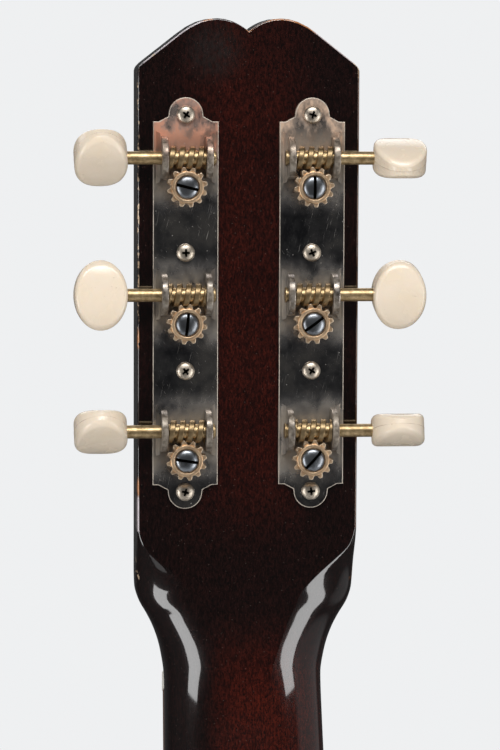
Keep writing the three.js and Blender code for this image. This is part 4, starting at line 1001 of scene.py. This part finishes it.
class GUITAR_OT_truss_cover(bpy.types.Operator):
    """Build the truss rod's cover and its screws."""

    bl_idname = "guitar.truss_cover"
    bl_label = "Truss rod cover"

    def execute(self, context):
        half = outline(
            (0, 1.2),
            [(14, 1.2)],
            [(14, 15.2), (6, 15.2), (6, 33.2)],
            [(6, 36.5), (3.3, 39.2), (0, 39.2)],
            steps=10,
        )
        bm = prism(eased(mirrored(half), 0.4, 1, closed=True), 0.2, COVER_TOP, 0.35)
        place("truss_cover", bm, FRONT_OF_HEAD, "black_plastic", "truss_rod_cover")
        screws = [shifted(screw(1.7, 0.9, 0.8, 4), x, y, COVER_TOP) for x, y in COVER_SCREWS]
        place("cover_screws", joined(*screws), FRONT_OF_HEAD, "screw_nickel")
        return {"FINISHED"}


# Tuners

PLATE_THICK = 1.2
PLATE_HALF = 8.65
PLATE_MIDDLE = 100.05
PLATE_REACH = 48.05
DOME_RADIUS = 4.55
ARC = 0.5523
PLATE_SCREWS = (149.9, 113.6, 82.3, 50.2)
EAR_INNER, EAR_OUTER = 5, 6.75
WORM_HALF, WORM_PITCH, WORM_ROOT, WORM_TIP = 4.85, 2.5, 1.7, 3.1
SHAFT_INNER, SHAFT_OUTER, SHAFT_RADIUS = -7.65, 24.7, 1.75
BUTTON_X = 22.7
BUTTON_HALF_WIDTH, BUTTON_HALF_HEIGHT, BUTTON_HALF_THICK = 7, 9.2, 3.95
GEAR_TEETH, GEAR_TIP, GEAR_ROOT, GEAR_HALF = 12, 5.35, 4.35, 1.15
GEAR_TWIST = 1.96
HEAD_FACE = -HEAD_THICK - 0.2
POST_TOP = HEAD_FACE - 13
STRING_LEVEL = HEAD_FACE - 6.6


def plate_outline():
    r, dome, ledge = DOME_RADIUS, PLATE_REACH + 1.8, PLATE_HALF - 1.6
    tip, lean = ARC * r, 1.9
    half = outline(
        (0, -dome - r),
        [(tip, -dome - r), (r, -dome - tip), (r, -dome)],
        [(r + 0.1, -dome + 0.5)],
        [(r + lean, -PLATE_REACH - 0.35), (ledge, -PLATE_REACH)],
        [(PLATE_HALF, -PLATE_REACH)],
        [(PLATE_HALF, PLATE_REACH)],
        [(ledge, PLATE_REACH)],
        [(r + lean, PLATE_REACH + 0.35), (r + 0.1, dome - 0.5)],
        [(r, dome)],
        [(r, dome + tip), (tip, dome + r), (0, dome + r)],
        steps=10,
    )
    return [(p.x, p.y + PLATE_MIDDLE) for p in mirrored(half)]


def ear(side):
    """An ear bent up out of the plate and bored for its shaft, with the bend's flare on its outer side."""
    base, shoulder, top = PLATE_THICK / 2, 3.4, AXLE_LEVEL + 3.6
    half = outline((0, base), [(5.6, base)], [(5.6, shoulder)], [(4.6, top), (0, top)], steps=10)
    lug = moved(prism(mirrored(half), EAR_INNER, EAR_OUTER, 0.3, both=True), ALONG_X)
    mark_wear_and_shade(lug, [f for f in lug.faces if abs(f.normal.x) < 0.9], 0.2)
    lug = carved(lug, shifted(moved(rod(2, -9, 9), TO_X), z=AXLE_LEVEL))
    near, far = EAR_OUTER - 0.3, EAR_OUTER + 1.5
    flare = prism([(-5.9, near), (-7.1, far), (7.1, far), (5.9, near)], base, 2.5)
    for vert in flare.verts:
        if vert.co.z > 2:
            vert.co = (vert.co.x * 0.9, min(vert.co.y, EAR_OUTER + 0.15), vert.co.z)
    outward(moved(flare, frame_of((0, 1, 0), (1, 0, 0), (0, 0, 1))))
    bm = joined(lug, flare)
    mark_wear_and_shade(bm, [f for f in bm.faces if abs(f.normal.x) > 0.9], 0.06)
    if side < 0:
        moved(bm, Matrix.Diagonal((-1, 1, 1, 1)))
        bmesh.ops.reverse_faces(bm, faces=bm.faces)
    return bm


class GUITAR_OT_tuner_plates(bpy.types.Operator):
    """Build the two tuner strips and their screws."""

    bl_idname = "guitar.tuner_plates"
    bl_label = "Tuner plates"

    def execute(self, context):
        rows = [POST_MIDDLE + k * POST_PITCH for k in (-1, 0, 1)]
        for name, side in (("treble", -1), ("bass", 1)):
            holes = [shifted(rod(POST_HOLE, -1, 3), y=at) for at in rows]
            flat = carved(prism(plate_outline(), 0, PLATE_THICK, 0.22), *holes)
            ears = [shifted(ear(hand), y=at + GEAR_TO_WORM) for at in rows for hand in (-1, 1)]
            bm = shifted(joined(flat, *ears), x=side * POST_X)
            place(f"tuner_strip_{name}", bm, BACK, "plate_nickel", f"tuner_plate_{name}", sharp=30)
            for k, at in enumerate(PLATE_SCREWS, 1):
                spot = beside(BACK, side * POST_X, at, PLATE_THICK + 0.2, 37 * k - 17 + 55 * side)
                bm, node = screw(2.4, 1.3, 1.1, 10), f"plate_screw_{name}_{k}"
                place(f"strip_screw_{name}_{k}", bm, spot, "screw_nickel", node)
        return {"FINISHED"}


def worm_ridge(phase):
    """The worm's left-handed ridge, wound past both ears and trimmed to the length between them."""
    turns, steps = 6, 20
    bm = fresh()
    across = eased([(0.86, WORM_ROOT), (0.68, WORM_TIP), (-0.68, WORM_TIP), (-0.86, WORM_ROOT)], 0.2, 2)
    start = (0.5 - phase + turns / 2) * WORM_PITCH
    verts = [bm.verts.new((start + x, -r, 0)) for x, r in across]
    edges = [bm.edges.new(pair) for pair in zip(verts, verts[1:] + verts[:1])]
    bmesh.ops.spin(
        bm,
        geom=verts + edges,
        cent=(0, 0, 0),
        axis=(1, 0, 0),
        dvec=(-WORM_PITCH / steps, 0, 0),
        angle=2 * pi * turns,
        steps=turns * steps,
        use_merge=False,
    )
    for side in (-1, 1):
        geom = [*bm.verts, *bm.edges, *bm.faces]
        end = (side * WORM_HALF, 0, 0)
        bmesh.ops.bisect_plane(bm, geom=geom, plane_co=end, plane_no=(side, 0, 0), clear_outer=True)
    bmesh.ops.holes_fill(bm, edges=[e for e in bm.edges if e.is_boundary], sides=0)
    outward(bm)
    return mark_wear_and_shade(bm, [f for f in bm.faces if all(hypot(v.co.y, v.co.z) > WORM_TIP - 0.2 for v in f.verts)])


class GUITAR_OT_worm_shafts(bpy.types.Operator):
    """Build the six worms on their shafts."""

    bl_idname = "guitar.worm_shafts"
    bl_label = "Worm shafts"

    def execute(self, context):
        for name, (side, _, _, phase) in TUNERS.items():
            core = rod(1.95, -WORM_HALF, WORM_HALF, 48, 0.2)
            axle = rod(SHAFT_RADIUS, *sorted((side * SHAFT_INNER, side * SHAFT_OUTER)), 48, 0.45)
            tip = side * -7.2
            peened = rod(2.05, tip - 0.35, tip + 0.1, 48, 0.15)
            bm = joined(worm_ridge(phase), moved(joined(core, axle, peened), TO_X))
            spot = beside(tuner_frame(name), 0, GEAR_TO_WORM, AXLE_LEVEL)
            node, body = f"worm_shaft_{name}", f"tuner_shaft_{name}"
            place(f"worm_{name}", bm, spot, "worm_brass", node, body)
        return {"FINISHED"}


class GUITAR_OT_buttons(bpy.types.Operator):
    """Build the six oval tuner buttons."""

    bl_idname = "guitar.buttons"
    bl_label = "Buttons"

    def execute(self, context):
        ease = context.scene.guitar_sizes.button_ease / MM
        radius, thick, high = 8, BUTTON_HALF_THICK, BUTTON_HALF_HEIGHT
        angles = [pi / 16 * k for k in range(9)]
        quarter = [(radius - ease + ease * cos(a), thick - ease + ease * sin(a)) for a in angles]
        face = [(radius * share, thick) for share in (0.7, 0.58, 0.45, 0.3, 0.15, 0)]
        upper = [(radius + 0.05, 0.07), (radius, 0.16), *quarter, *face]
        profile = [(r, -z) for r, z in reversed(upper)] + upper

        # Turned round first, then drawn into an oval and thinned towards both ends
        oval = Matrix.Diagonal((BUTTON_HALF_WIDTH / radius, high / radius, 1, 1))
        for name, (side, turn, _, _) in TUNERS.items():
            bm = moved(turned(profile, 72), oval)
            mark_wear_and_shade(bm, [f for f in bm.faces if all(abs(v.co.z) < 0.1 for v in f.verts)])
            for vert in bm.verts:
                vert.co.z *= sqrt(1 - (0.92 * vert.co.y / high) ** 2)
            spot = beside(tuner_frame(name), side * BUTTON_X, GEAR_TO_WORM, AXLE_LEVEL, turn, "X")
            node, body = f"button_{name}", f"tuner_shaft_{name}"
            place(f"oval_button_{name}", bm, spot, "cream_plastic", node, body, 60)
        return {"FINISHED"}


class GUITAR_OT_gears(bpy.types.Operator):
    """Build the six gears and their screws."""

    bl_idname = "guitar.gears"
    bl_label = "Gears"

    def execute(self, context):
        low, top = AXLE_LEVEL - GEAR_HALF, AXLE_LEVEL + GEAR_HALF
        flanks = [(GEAR_ROOT, -0.8), (GEAR_TIP, -0.42), (GEAR_TIP, 0.42), (GEAR_ROOT, 0.8)]
        boss = [(3.0, top - 0.3), (4.4, top - 0.3), (4.15, top + 0.7), (3.3, top + 0.7), (3.22, top - 0.3)]
        for name, (_, _, slot, phase) in TUNERS.items():
            points = []
            for k in range(GEAR_TEETH):
                for radius, offset in flanks:
                    angle = 2 * pi * (k + phase) / GEAR_TEETH + offset / radius
                    points.append((-radius * sin(angle), radius * cos(angle)))
            bm = prism(eased(points, 0.14, 1, closed=True), low, top, 0.16, both=True)
            for vert in bm.verts:
                angle = (AXLE_LEVEL - vert.co.z) / GEAR_HALF * radians(GEAR_TWIST)
                vert.co = Matrix.Rotation(angle, 3, "Z") @ vert.co
            joined(bm, turned(eased(boss, 0.16), 64))
            spot, body = tuner_frame(name), f"tuner_post_{name}"
            place(f"worm_gear_{name}", bm, spot, "gear_bronze", f"gear_{name}", body)
            spot = beside(spot, 0, 0, top + 0.2, slot)
            bm = screw(3.05, 1.35, 0.9, 5.8, 0.8, 56)
            place(f"domed_screw_{name}", bm, spot, "blued_steel", f"gear_screw_{name}", body)
        return {"FINISHED"}


class GUITAR_OT_string_posts(bpy.types.Operator):
    """Build the six posts and their ferrules."""

    bl_idname = "guitar.string_posts"
    bl_label = "String posts"

    def execute(self, context):
        foot, waist, face = AXLE_LEVEL - 1.4, HEAD_FACE - 3.5, HEAD_FACE
        stem = [(0, POST_TOP), (2.5, POST_TOP), (3, POST_TOP + 0.6), (3, waist - 6.5), (2.5, waist - 5.6)]
        stem += [(2.5, waist - 0.9), (3, waist), (3, foot), (0, foot)]
        cup = [(POST_HOLE, face + 0.5), (4.9, face + 0.5), (4.9, face - 0.7), (4.2, face - 1.3)]
        cup = eased([*cup, (POST_HOLE, face - 1.3), cup[0]], 0.25, 2)
        for name in TUNERS:
            hole = shifted(moved(rod(0.9, -5, 5, 20), TO_X), z=STRING_LEVEL)
            bm = carved(turned(eased(stem, 0.3, 2), 40), hole)
            spot, node = tuner_frame(name), f"string_post_{name}"
            place(f"post_{name}", bm, spot, "nickel", node, f"tuner_post_{name}")
            place(f"ferrule_{name}", turned(cup, 40), spot, "nickel")
        return {"FINISHED"}


GAUGES = (0.28, 0.38, 0.5, 0.66, 0.9, 1.15)
BRIDGE_SPREAD, POLE_SPREAD, NUT_SPREAD = 51.5, 51, 35.2
COIL_STEPS = 20


class GUITAR_OT_strings(bpy.types.Operator):
    """Build the six strings and their windings."""

    bl_idname = "guitar.strings"
    bl_label = "Strings"

    def execute(self, context):
        turns = context.scene.guitar_sizes.string_turns
        for i, (name, gauge) in enumerate(zip(STRING_TUNERS, GAUGES), 1):
            side, radius, share = TUNERS[name][0], gauge / 2, (i - 1) / 5 - 0.5
            x, nut_x = share * BRIDGE_SPREAD, share * NUT_SPREAD
            saddle = (x, board_top(x) + 5.6 + radius, BRIDGE_Z)
            nut = (nut_x, board_top(nut_x) + 1.5 + radius, 2.5)
            spot, reach = tuner_frame(name), 2.5 + radius + 0.05
            end = spot @ Vector((-side * reach, 0, STRING_LEVEL))
            _, y, z = saddle
            path = [(x, y - 5.4, z - 8.3), (x, y - 2.6, z - 7.6)]
            path += bend([path[1], (x, y + 0.3, z - 5.5), saddle], 6)
            path += [[mixed(a, b, k / 4) for a, b in zip(saddle, nut)] for k in (1, 2, 3)]
            path += [nut, *(Vector(nut).lerp(end, k / 3) for k in (1, 2, 3))]
            look = "plain_wire" if i < 4 else f"wound_wire_{i}"
            place(f"wire_{i}", tube(path, radius), GUITAR, look, f"string_{i}", sharp=60)
            coil = []
            for k in range(COIL_STEPS * turns + 1):
                angle = (pi if side > 0 else 0) + side * 2 * pi * k / COIL_STEPS
                level = STRING_LEVEL + max(gauge, 0.5) * k / COIL_STEPS
                coil.append((reach * cos(angle), reach * sin(angle), level))
            bm = tube(coil, radius, 8)
            place(f"winding_{i}", bm, spot, "plain_wire", body=f"tuner_post_{name}", sharp=60)
        return {"FINISHED"}


# Body and its fittings

UPPER_BOUT, UPPER_BOUT_Z = 120, -412
WAIST, WAIST_Z = 107, -498
LOWER_BOUT, LOWER_BOUT_Z = 162, -644
BODY_END = -748
RED_MIDDLE = -580
HORN_X, HORN_Z = 84, -352
KNOBS = {"volume": -600, "tone": -641}
JACK_Z = -683
GUARD_TREBLE, GUARD_BASS, GUARD_END, GUARD_STEP, GUARD_STEP_X = -126, 52, -708, -605, -64
GUARD_SCREWS = (
    (-30, -447), (-62, -520), (-115, -650), (-122, -690), (-72, -700),
    (-70, -612), (45, -600), (46, -540), (24, -466),
)


def body_outline():
    joint = neck_half(NECK_JOINT) + 3
    upper, lower = UPPER_BOUT_Z - WAIST_Z, WAIST_Z - LOWER_BOUT_Z
    end, horn = LOWER_BOUT_Z - BODY_END, HORN_Z - UPPER_BOUT_Z
    reach = HORN_X - joint
    half = outline(
        (0, BODY_END),
        [(LOWER_BOUT * 0.6, BODY_END), (LOWER_BOUT, LOWER_BOUT_Z - end * 0.58), (LOWER_BOUT, LOWER_BOUT_Z)],
        [(LOWER_BOUT, LOWER_BOUT_Z + lower * 0.5), (WAIST, WAIST_Z - lower * 0.38), (WAIST, WAIST_Z)],
        [(WAIST, WAIST_Z + upper * 0.4), (UPPER_BOUT, UPPER_BOUT_Z - upper * 0.4), (UPPER_BOUT, UPPER_BOUT_Z)],
        [(UPPER_BOUT, UPPER_BOUT_Z + horn * 0.55), (mixed(HORN_X, UPPER_BOUT, 0.6), HORN_Z), (HORN_X, HORN_Z)],
        [(HORN_X - reach * 0.62, HORN_Z), (joint + reach * 0.72, NECK_JOINT), (joint, NECK_JOINT)],
        [(0, NECK_JOINT)],
        steps=28,
    )
    return mirrored(half)


class GUITAR_OT_body(bpy.types.Operator):
    """Build the slab body."""

    bl_idname = "guitar.body"
    bl_label = "Body"

    def execute(self, context):
        ease = context.scene.guitar_sizes.body_round / MM
        bm = prism(body_outline(), BODY_TOP, BODY_BACK, ease, 7, both=True)
        mark_wear_and_shade(bm, bm.faces, 0)
        outward(moved(bm, frame_of((1, 0, 0), (0, 0, 1), (0, 1, 0))))
        spots = [facing_front(CONTROL_X, BODY_TOP, z) for z in (*KNOBS.values(), JACK_Z)]
        wells = [moved(rod(9, -30, 5, 40), spot) for spot in spots]
        wide, high = PICKUP_HALF_WIDTH + PICKUP_GAP, PICKUP_HALF_HEIGHT + PICKUP_GAP
        wells.append(block(-wide, wide, -15.2, 3, PICKUP_Z - high, PICKUP_Z + high))
        bm = carved(bm, *wells)
        wear = bm.verts.layers.float_color.new("wear")
        for vert in bm.verts:
            middle = max(0, 1 - hypot(vert.co.x / 150, (vert.co.z - RED_MIDDLE) / 190) ** 2)
            vert[wear] = (0, 0, 0, 0.12 + 0.5 * middle)
        place("body_wood", bm, GUITAR, "body_lacquer", "body", sharp=40)
        return {"FINISHED"}


class GUITAR_OT_pickguard(bpy.types.Operator):
    """Build the pickguard and its screws."""

    bl_idname = "guitar.pickguard"
    bl_label = "Pickguard"

    def execute(self, context):
        neck_side = neck_half(BOARD_END) + 2
        start, end = BOARD_END - 2, -440
        step, side = GUARD_STEP, GUARD_STEP_X
        points = outline(
            (-neck_side, end),
            [(-neck_side, start)],
            [(neck_side - 8, start)],
            [(GUARD_BASS, start), (GUARD_BASS, PICKUP_Z)],
            [(GUARD_BASS, step + 8)],
            [(GUARD_BASS, step), (GUARD_BASS - 8, step)],
            [(side + 8, step)],
            [(side, step), (side, step - 8)],
            [(side, GUARD_END + 31)],
            [(side, GUARD_END), (CONTROL_X, GUARD_END)],
            [(GUARD_TREBLE, GUARD_END), (GUARD_TREBLE, KNOBS["tone"])],
            [(GUARD_TREBLE, PICKUP_Z), (CONTROL_X, -555), (-87, WAIST_Z)],
            [(-79, end), (-neck_side, end)],
            steps=16,
        )
        bm = prism([(-p.x, p.y) for p in points[:-1]], 0.2, 2.2, 0.8, 3)
        bores = [(3.35, z) for z in KNOBS.values()] + [(5.4, JACK_Z)]
        bm = carved(bm, *(shifted(rod(r, -1, 4, 40), -CONTROL_X, z) for r, z in bores))
        spot = facing_front(0, BODY_TOP, 0)
        place("guard_plate", bm, spot, "black_plastic", "pickguard")
        screws = [shifted(screw(2.6, 1.0, 1.2, 6), -x, z, 2.1) for x, z in GUARD_SCREWS]
        place("guard_screws", joined(*screws), spot, "screw_nickel")
        return {"FINISHED"}


class GUITAR_OT_pickup(bpy.types.Operator):
    """Build the pickup and its pole screws."""

    bl_idname = "guitar.pickup"
    bl_label = "Pickup"

    def execute(self, context):
        x, y, top = PICKUP_HALF_WIDTH, PICKUP_HALF_HEIGHT, 7
        spot = facing_front(0, GUARD_LEVEL, PICKUP_Z)
        corners = eased([(-x, -y), (x, -y), (x, y), (-x, y)], 3, 5, closed=True)
        bm = prism(corners, -14.2, top, 1.6, 4)
        place("pickup_cover", bm, spot, "cream_plastic", "pickup")
        poles = []
        for k in range(6):
            pole = moved(screw(2.3, 0.7, 1.2, 3, 0.6, 28), Matrix.Rotation(0.5 * k, 4, "Z"))
            poles.append(shifted(pole, POLE_SPREAD * (k / 5 - 0.5), 0, top))
        place("pole_screws", joined(*poles), spot, "nickel")
        return {"FINISHED"}


class GUITAR_OT_knobs(bpy.types.Operator):
    """Build the volume and tone knobs."""

    bl_idname = "guitar.knobs"
    bl_label = "Knobs"

    def execute(self, context):
        profile = [(0, -12), (3.1, -12), (3.1, 0), (13.2, 0), (13.2, 1.6), (12.2, 3.6), (11.4, 14.2)]
        profile = eased([*profile, (10.6, 15), (9.6, 15), (9.2, 14.5), (0, 14.5)], 0.5, 3)
        for name, z in KNOBS.items():
            spot, node = facing_front(CONTROL_X, GUARD_LEVEL + 0.6, z), f"{name}_knob"
            bm = carved(turned(profile, 64), block(-0.5, 0.5, -13, -5.7, 13.9, 16))
            place(f"knob_{name}", bm, spot, "black_plastic", node, node)
            line = block(-0.42, 0.42, -11, -6, 14, 14.6)
            place(f"pointer_{name}", line, spot, "cream_plastic", body=node)
        return {"FINISHED"}


class GUITAR_OT_jack(bpy.types.Operator):
    """Build the output jack."""

    bl_idname = "guitar.jack"
    bl_label = "Output jack"

    def execute(self, context):
        bore = [(3.6, -20), (5.2, -20), (5.2, 2), (4.6, 3.2), (3.9, 3.2), (3.6, 2.9), (3.6, -20)]
        sleeve = turned(eased(bore, 0.2, 2), 48)
        nut = carved(prism(ring(6, 7.2, 0.2), 0.5, 2.6, 0.35), rod(4.9, -1, 4, 40))
        washer = turned(eased([(4, 0), (7.2, 0), (7.2, 0.5), (4, 0.5), (4, 0)], 0.12), 48)
        bm = shifted(joined(sleeve, nut, washer), z=-0.6)
        spot = facing_front(CONTROL_X, GUARD_LEVEL + 0.2, JACK_Z)
        place("jack_socket", bm, spot, "nickel", "output_jack")
        return {"FINISHED"}


BAR_HALF, BAR_HIGH = 7.5, 9


def bar_section(x, share=1):
    """A section across the bridge's bar, drawn in towards its middle by a share."""
    w, h = BAR_HALF, BAR_HIGH
    top = board_top(x) + 5.4
    section = [(-w, -h * 0.55), (-w * 0.7, -h * 0.92), (w * 0.7, -h), (w, -h * 0.75), (w * 0.9, -h * 0.3)]
    section += [(w * 0.5, -h * 0.06), (0, 0), (-w * 0.5, -h * 0.08), (-w * 0.9, -h * 0.3)]
    points = eased(section, 2, 3, closed=True)
    return [(x, top - h / 2 + (y + h / 2) * share, BRIDGE_Z + z * share) for z, y in points]


class GUITAR_OT_bridge(bpy.types.Operator):
    """Build the bridge and its studs."""

    bl_idname = "guitar.bridge"
    bl_label = "Bridge"

    def execute(self, context):
        ends = [(34, 0.86), (33.6, 0.95), (32.6, 1)]
        bar = skin([
            *(bar_section(-x, share) for x, share in ends),
            *(bar_section(x) for x in (-20, -10, 0, 10, 20)),
            *(bar_section(x, share) for x, share in reversed(ends)),
        ])
        rise = board_top(34) + 5.4 - BAR_HIGH * 0.2 - BODY_TOP
        half = outline(
            (0, -6.5), [(46.5, -6.5)], [(55.2, -6.5), (55.2, 6.5), (46.5, 6.5)], [(0, 6.5)], steps=14
        )
        ears = prism(mirrored(half), rise - 4.6, rise, 0.8, 3, both=True)
        profile = [(0, -22), (3.8, -22), (3.8, 0.2), (5.4, 0.2), (5.4, 1.7), (3.8, 1.7), (3.8, rise)]
        profile += [(5.4, rise), (5.4, rise + 1.3), (4.4, rise + 2), (0, rise + 2)]
        profile = eased(profile, 0.3, 2)
        studs = []
        for side in (-1, 1):
            slot = block(-6, 6, -0.6, 0.6, rise + 0.7, rise + 3)
            moved(slot, Matrix.Rotation(radians(25 * side), 4, "Z"))
            studs.append(shifted(carved(turned(profile, 48), slot), x=side * 41.2))
        bm = joined(bar, moved(joined(ears, *studs), facing_front(0, BODY_TOP, BRIDGE_Z)))
        place("wrap_bridge", bm, GUITAR, "nickel", "bridge")
        return {"FINISHED"}


class GUITAR_OT_strap_buttons(bpy.types.Operator):
    """Build the two strap buttons."""

    bl_idname = "guitar.strap_buttons"
    bl_label = "Strap buttons"

    def execute(self, context):
        seat = 10.1
        profile = [(0, 0.2), (5.6, 0.2), (5.4, 1.2), (4, 3.9), (3.9, 7), (6.6, 9), (7, 9.8), (6.6, 10.8)]
        profile = eased([*profile, (4.2, 11), (3.2, seat), (0, seat)], 0.7, 3)
        for name, x, z, turn in (("end", 0, BODY_END, 180), ("horn", HORN_X, HORN_Z, 0)):
            head = shifted(screw(3, 0.85, 1.5, 6), z=seat)
            shank = turned([(0, -20), (1.6, -18), (1.6, 1), (0, 1)], 24)
            bm = joined(turned(profile, 56), head, shank)
            spot = beside(GUITAR, x, BODY_MIDDLE, z, turn, "X")
            place(f"strap_knob_{name}", bm, spot, "nickel", f"strap_button_{name}")
        return {"FINISHED"}


# Stage

VIEW_FROM = (-6.2, -12)
VIEW_ROLL = -1.6
VIEW_AT = (0.55, 81.07, 0)
VIEW_DISTANCE = 970
FRAME_HEIGHT = 198.8
FLOOR_RADIUS, FLOOR_LEVEL = 0.62, -0.79
LAMP_AIM = (0, -0.03, 0.06)
LAMPS = {
    "left": ((-1.05, -0.62, -0.42), (0.46, 0.94)),
    "right": ((0.95, -0.8, -0.56), (0.42, 1.1)),
    "top": ((0, -1.3, 0.85), (1.0, 0.4)),
    "front": ((0, 1.0, 1.36), (3.0, 0.8)),
}


class GUITAR_OT_stage(bpy.types.Operator):
    """Build the floor, lamps, world and camera."""

    bl_idname = "guitar.stage"
    bl_label = "Stage"

    def execute(self, context):
        scene = context.scene
        look = scene.guitar_finishes
        bm = bmesh.new()
        bmesh.ops.create_circle(bm, cap_ends=True, radius=FLOOR_RADIUS, segments=96)
        mesh = bpy.data.meshes.new("studio_floor")
        shifted(bm, z=FLOOR_LEVEL).to_mesh(mesh)
        bm.free()
        mesh.materials.append(finish("floor"))
        floor = bpy.data.objects.new("studio_floor", mesh)
        scene.collection.objects.link(floor)

        turn, rise = (radians(a) for a in VIEW_FROM)
        away = Vector((sin(turn) * cos(rise), -cos(turn) * cos(rise), sin(rise)))
        camera = bpy.data.objects.new("camera", bpy.data.cameras.new("camera"))
        scene.collection.objects.link(camera)
        camera.location = (BACK @ Vector(VIEW_AT)) * MM + away * VIEW_DISTANCE * MM
        level = (-away).to_track_quat("-Z", "Y").to_matrix()
        camera.rotation_euler = (level @ Matrix.Rotation(radians(VIEW_ROLL), 3, "Z")).to_euler()
        camera.data.sensor_fit = "VERTICAL"
        camera.data.lens = camera.data.sensor_height * VIEW_DISTANCE / FRAME_HEIGHT
        camera.data.clip_start = 0.01
        scene.camera = camera

        for name, (spot, size) in LAMPS.items():
            data = bpy.data.lights.new(name, "AREA")
            data.shape = "RECTANGLE"
            data.size, data.size_y = size
            data.energy = look.key_watts if name in ("left", "right") else look.top_watts
            lamp = bpy.data.objects.new("lamp_" + name, data)
            lamp.location = spot
            lamp.rotation_euler = (Vector(LAMP_AIM) - Vector(spot)).to_track_quat("-Z", "Y").to_euler()
            scene.collection.objects.link(lamp)
        build_world(look)
        scene.view_settings.view_transform = "Standard"
        return {"FINISHED"}


def build_world(look):
    """A pale backdrop for what the camera sees, and round a dark studio in what metal and lacquer mirror."""
    world = bpy.data.worlds.new("studio")
    bpy.context.scene.world = world
    world.use_nodes = True
    tree = world.node_tree
    tree.nodes.clear()

    def node(kind, *inputs, **settings):
        made = tree.nodes.new("ShaderNode" + kind)
        for key, value in settings.items():
            setattr(made, key, value)
        for socket, value in zip(made.inputs, inputs):
            if isinstance(value, bpy.types.NodeSocket):
                tree.links.new(value, socket)
            else:
                socket.default_value = value
        return made

    def math(what, *values):
        return node("Math", *values, operation=what).outputs[0]

    def towards(direction):
        return node("VectorMath", where, direction, operation="DOT_PRODUCT").outputs["Value"]

    def eased_range(value, *ends):
        return node("MapRange", value, *ends, interpolation_type="SMOOTHSTEP").outputs["Result"]

    rays = node("LightPath").outputs
    where = node("TexCoord").outputs["Generated"]
    side = eased_range(towards((1, 0, 0)), 0.8, 0.9, 0.0, 0.36)
    level = eased_range(math("ABSOLUTE", towards((0, 0.98, 0.2))), 0.0, 0.6, 0.1, 0.05)
    mirrored_level = math("MAXIMUM", side, level)
    mirror = math("MAXIMUM", rays["Is Glossy Ray"], rays["Is Transmission Ray"])
    shade = math("SUBTRACT", 1, math("MULTIPLY", mirror, math("SUBTRACT", 1, mirrored_level)))
    seen = math("MAXIMUM", rays["Is Camera Ray"], mirror)
    unshaded = node("MapRange", seen, 0, 1, 0.1, 1).outputs["Result"]
    light = node("Background", (*look.backdrop, 1), math("MULTIPLY", unshaded, shade))
    output = node("OutputWorld")
    tree.links.new(light.outputs[0], output.inputs[0])


# The tool panel


OPERATORS = (
    GUITAR_OT_stage,
    GUITAR_OT_neck,
    GUITAR_OT_fingerboard,
    GUITAR_OT_truss_cover,
    GUITAR_OT_tuner_plates,
    GUITAR_OT_worm_shafts,
    GUITAR_OT_buttons,
    GUITAR_OT_gears,
    GUITAR_OT_string_posts,
    GUITAR_OT_strings,
    GUITAR_OT_body,
    GUITAR_OT_pickguard,
    GUITAR_OT_pickup,
    GUITAR_OT_knobs,
    GUITAR_OT_jack,
    GUITAR_OT_bridge,
    GUITAR_OT_strap_buttons,
)


class GUITAR_PT_tools(bpy.types.Panel):
    """Lists the guitar's operators and settings."""

    bl_idname = "GUITAR_PT_tools"
    bl_label = "Guitar"
    bl_space_type = "VIEW_3D"
    bl_region_type = "UI"
    bl_category = "Guitar"

    def draw(self, context):
        for made in OPERATORS:
            self.layout.operator(made.bl_idname)
        for group in (context.scene.guitar_sizes, context.scene.guitar_finishes):
            for key in group.__annotations__:
                self.layout.prop(group, key)


CLASSES = (GuitarSizes, GuitarFinishes, *OPERATORS, GUITAR_PT_tools)


def register():
    for made in CLASSES:
        bpy.utils.register_class(made)
    bpy.types.Scene.guitar_sizes = PointerProperty(type=GuitarSizes)
    bpy.types.Scene.guitar_finishes = PointerProperty(type=GuitarFinishes)


def unregister():
    del bpy.types.Scene.guitar_finishes
    del bpy.types.Scene.guitar_sizes
    for made in reversed(CLASSES):
        bpy.utils.unregister_class(made)


def main():
    register()
    for made in OPERATORS:
        getattr(bpy.ops.guitar, made.bl_idname.split(".")[1])()


if __name__ == "__main__":
    main()
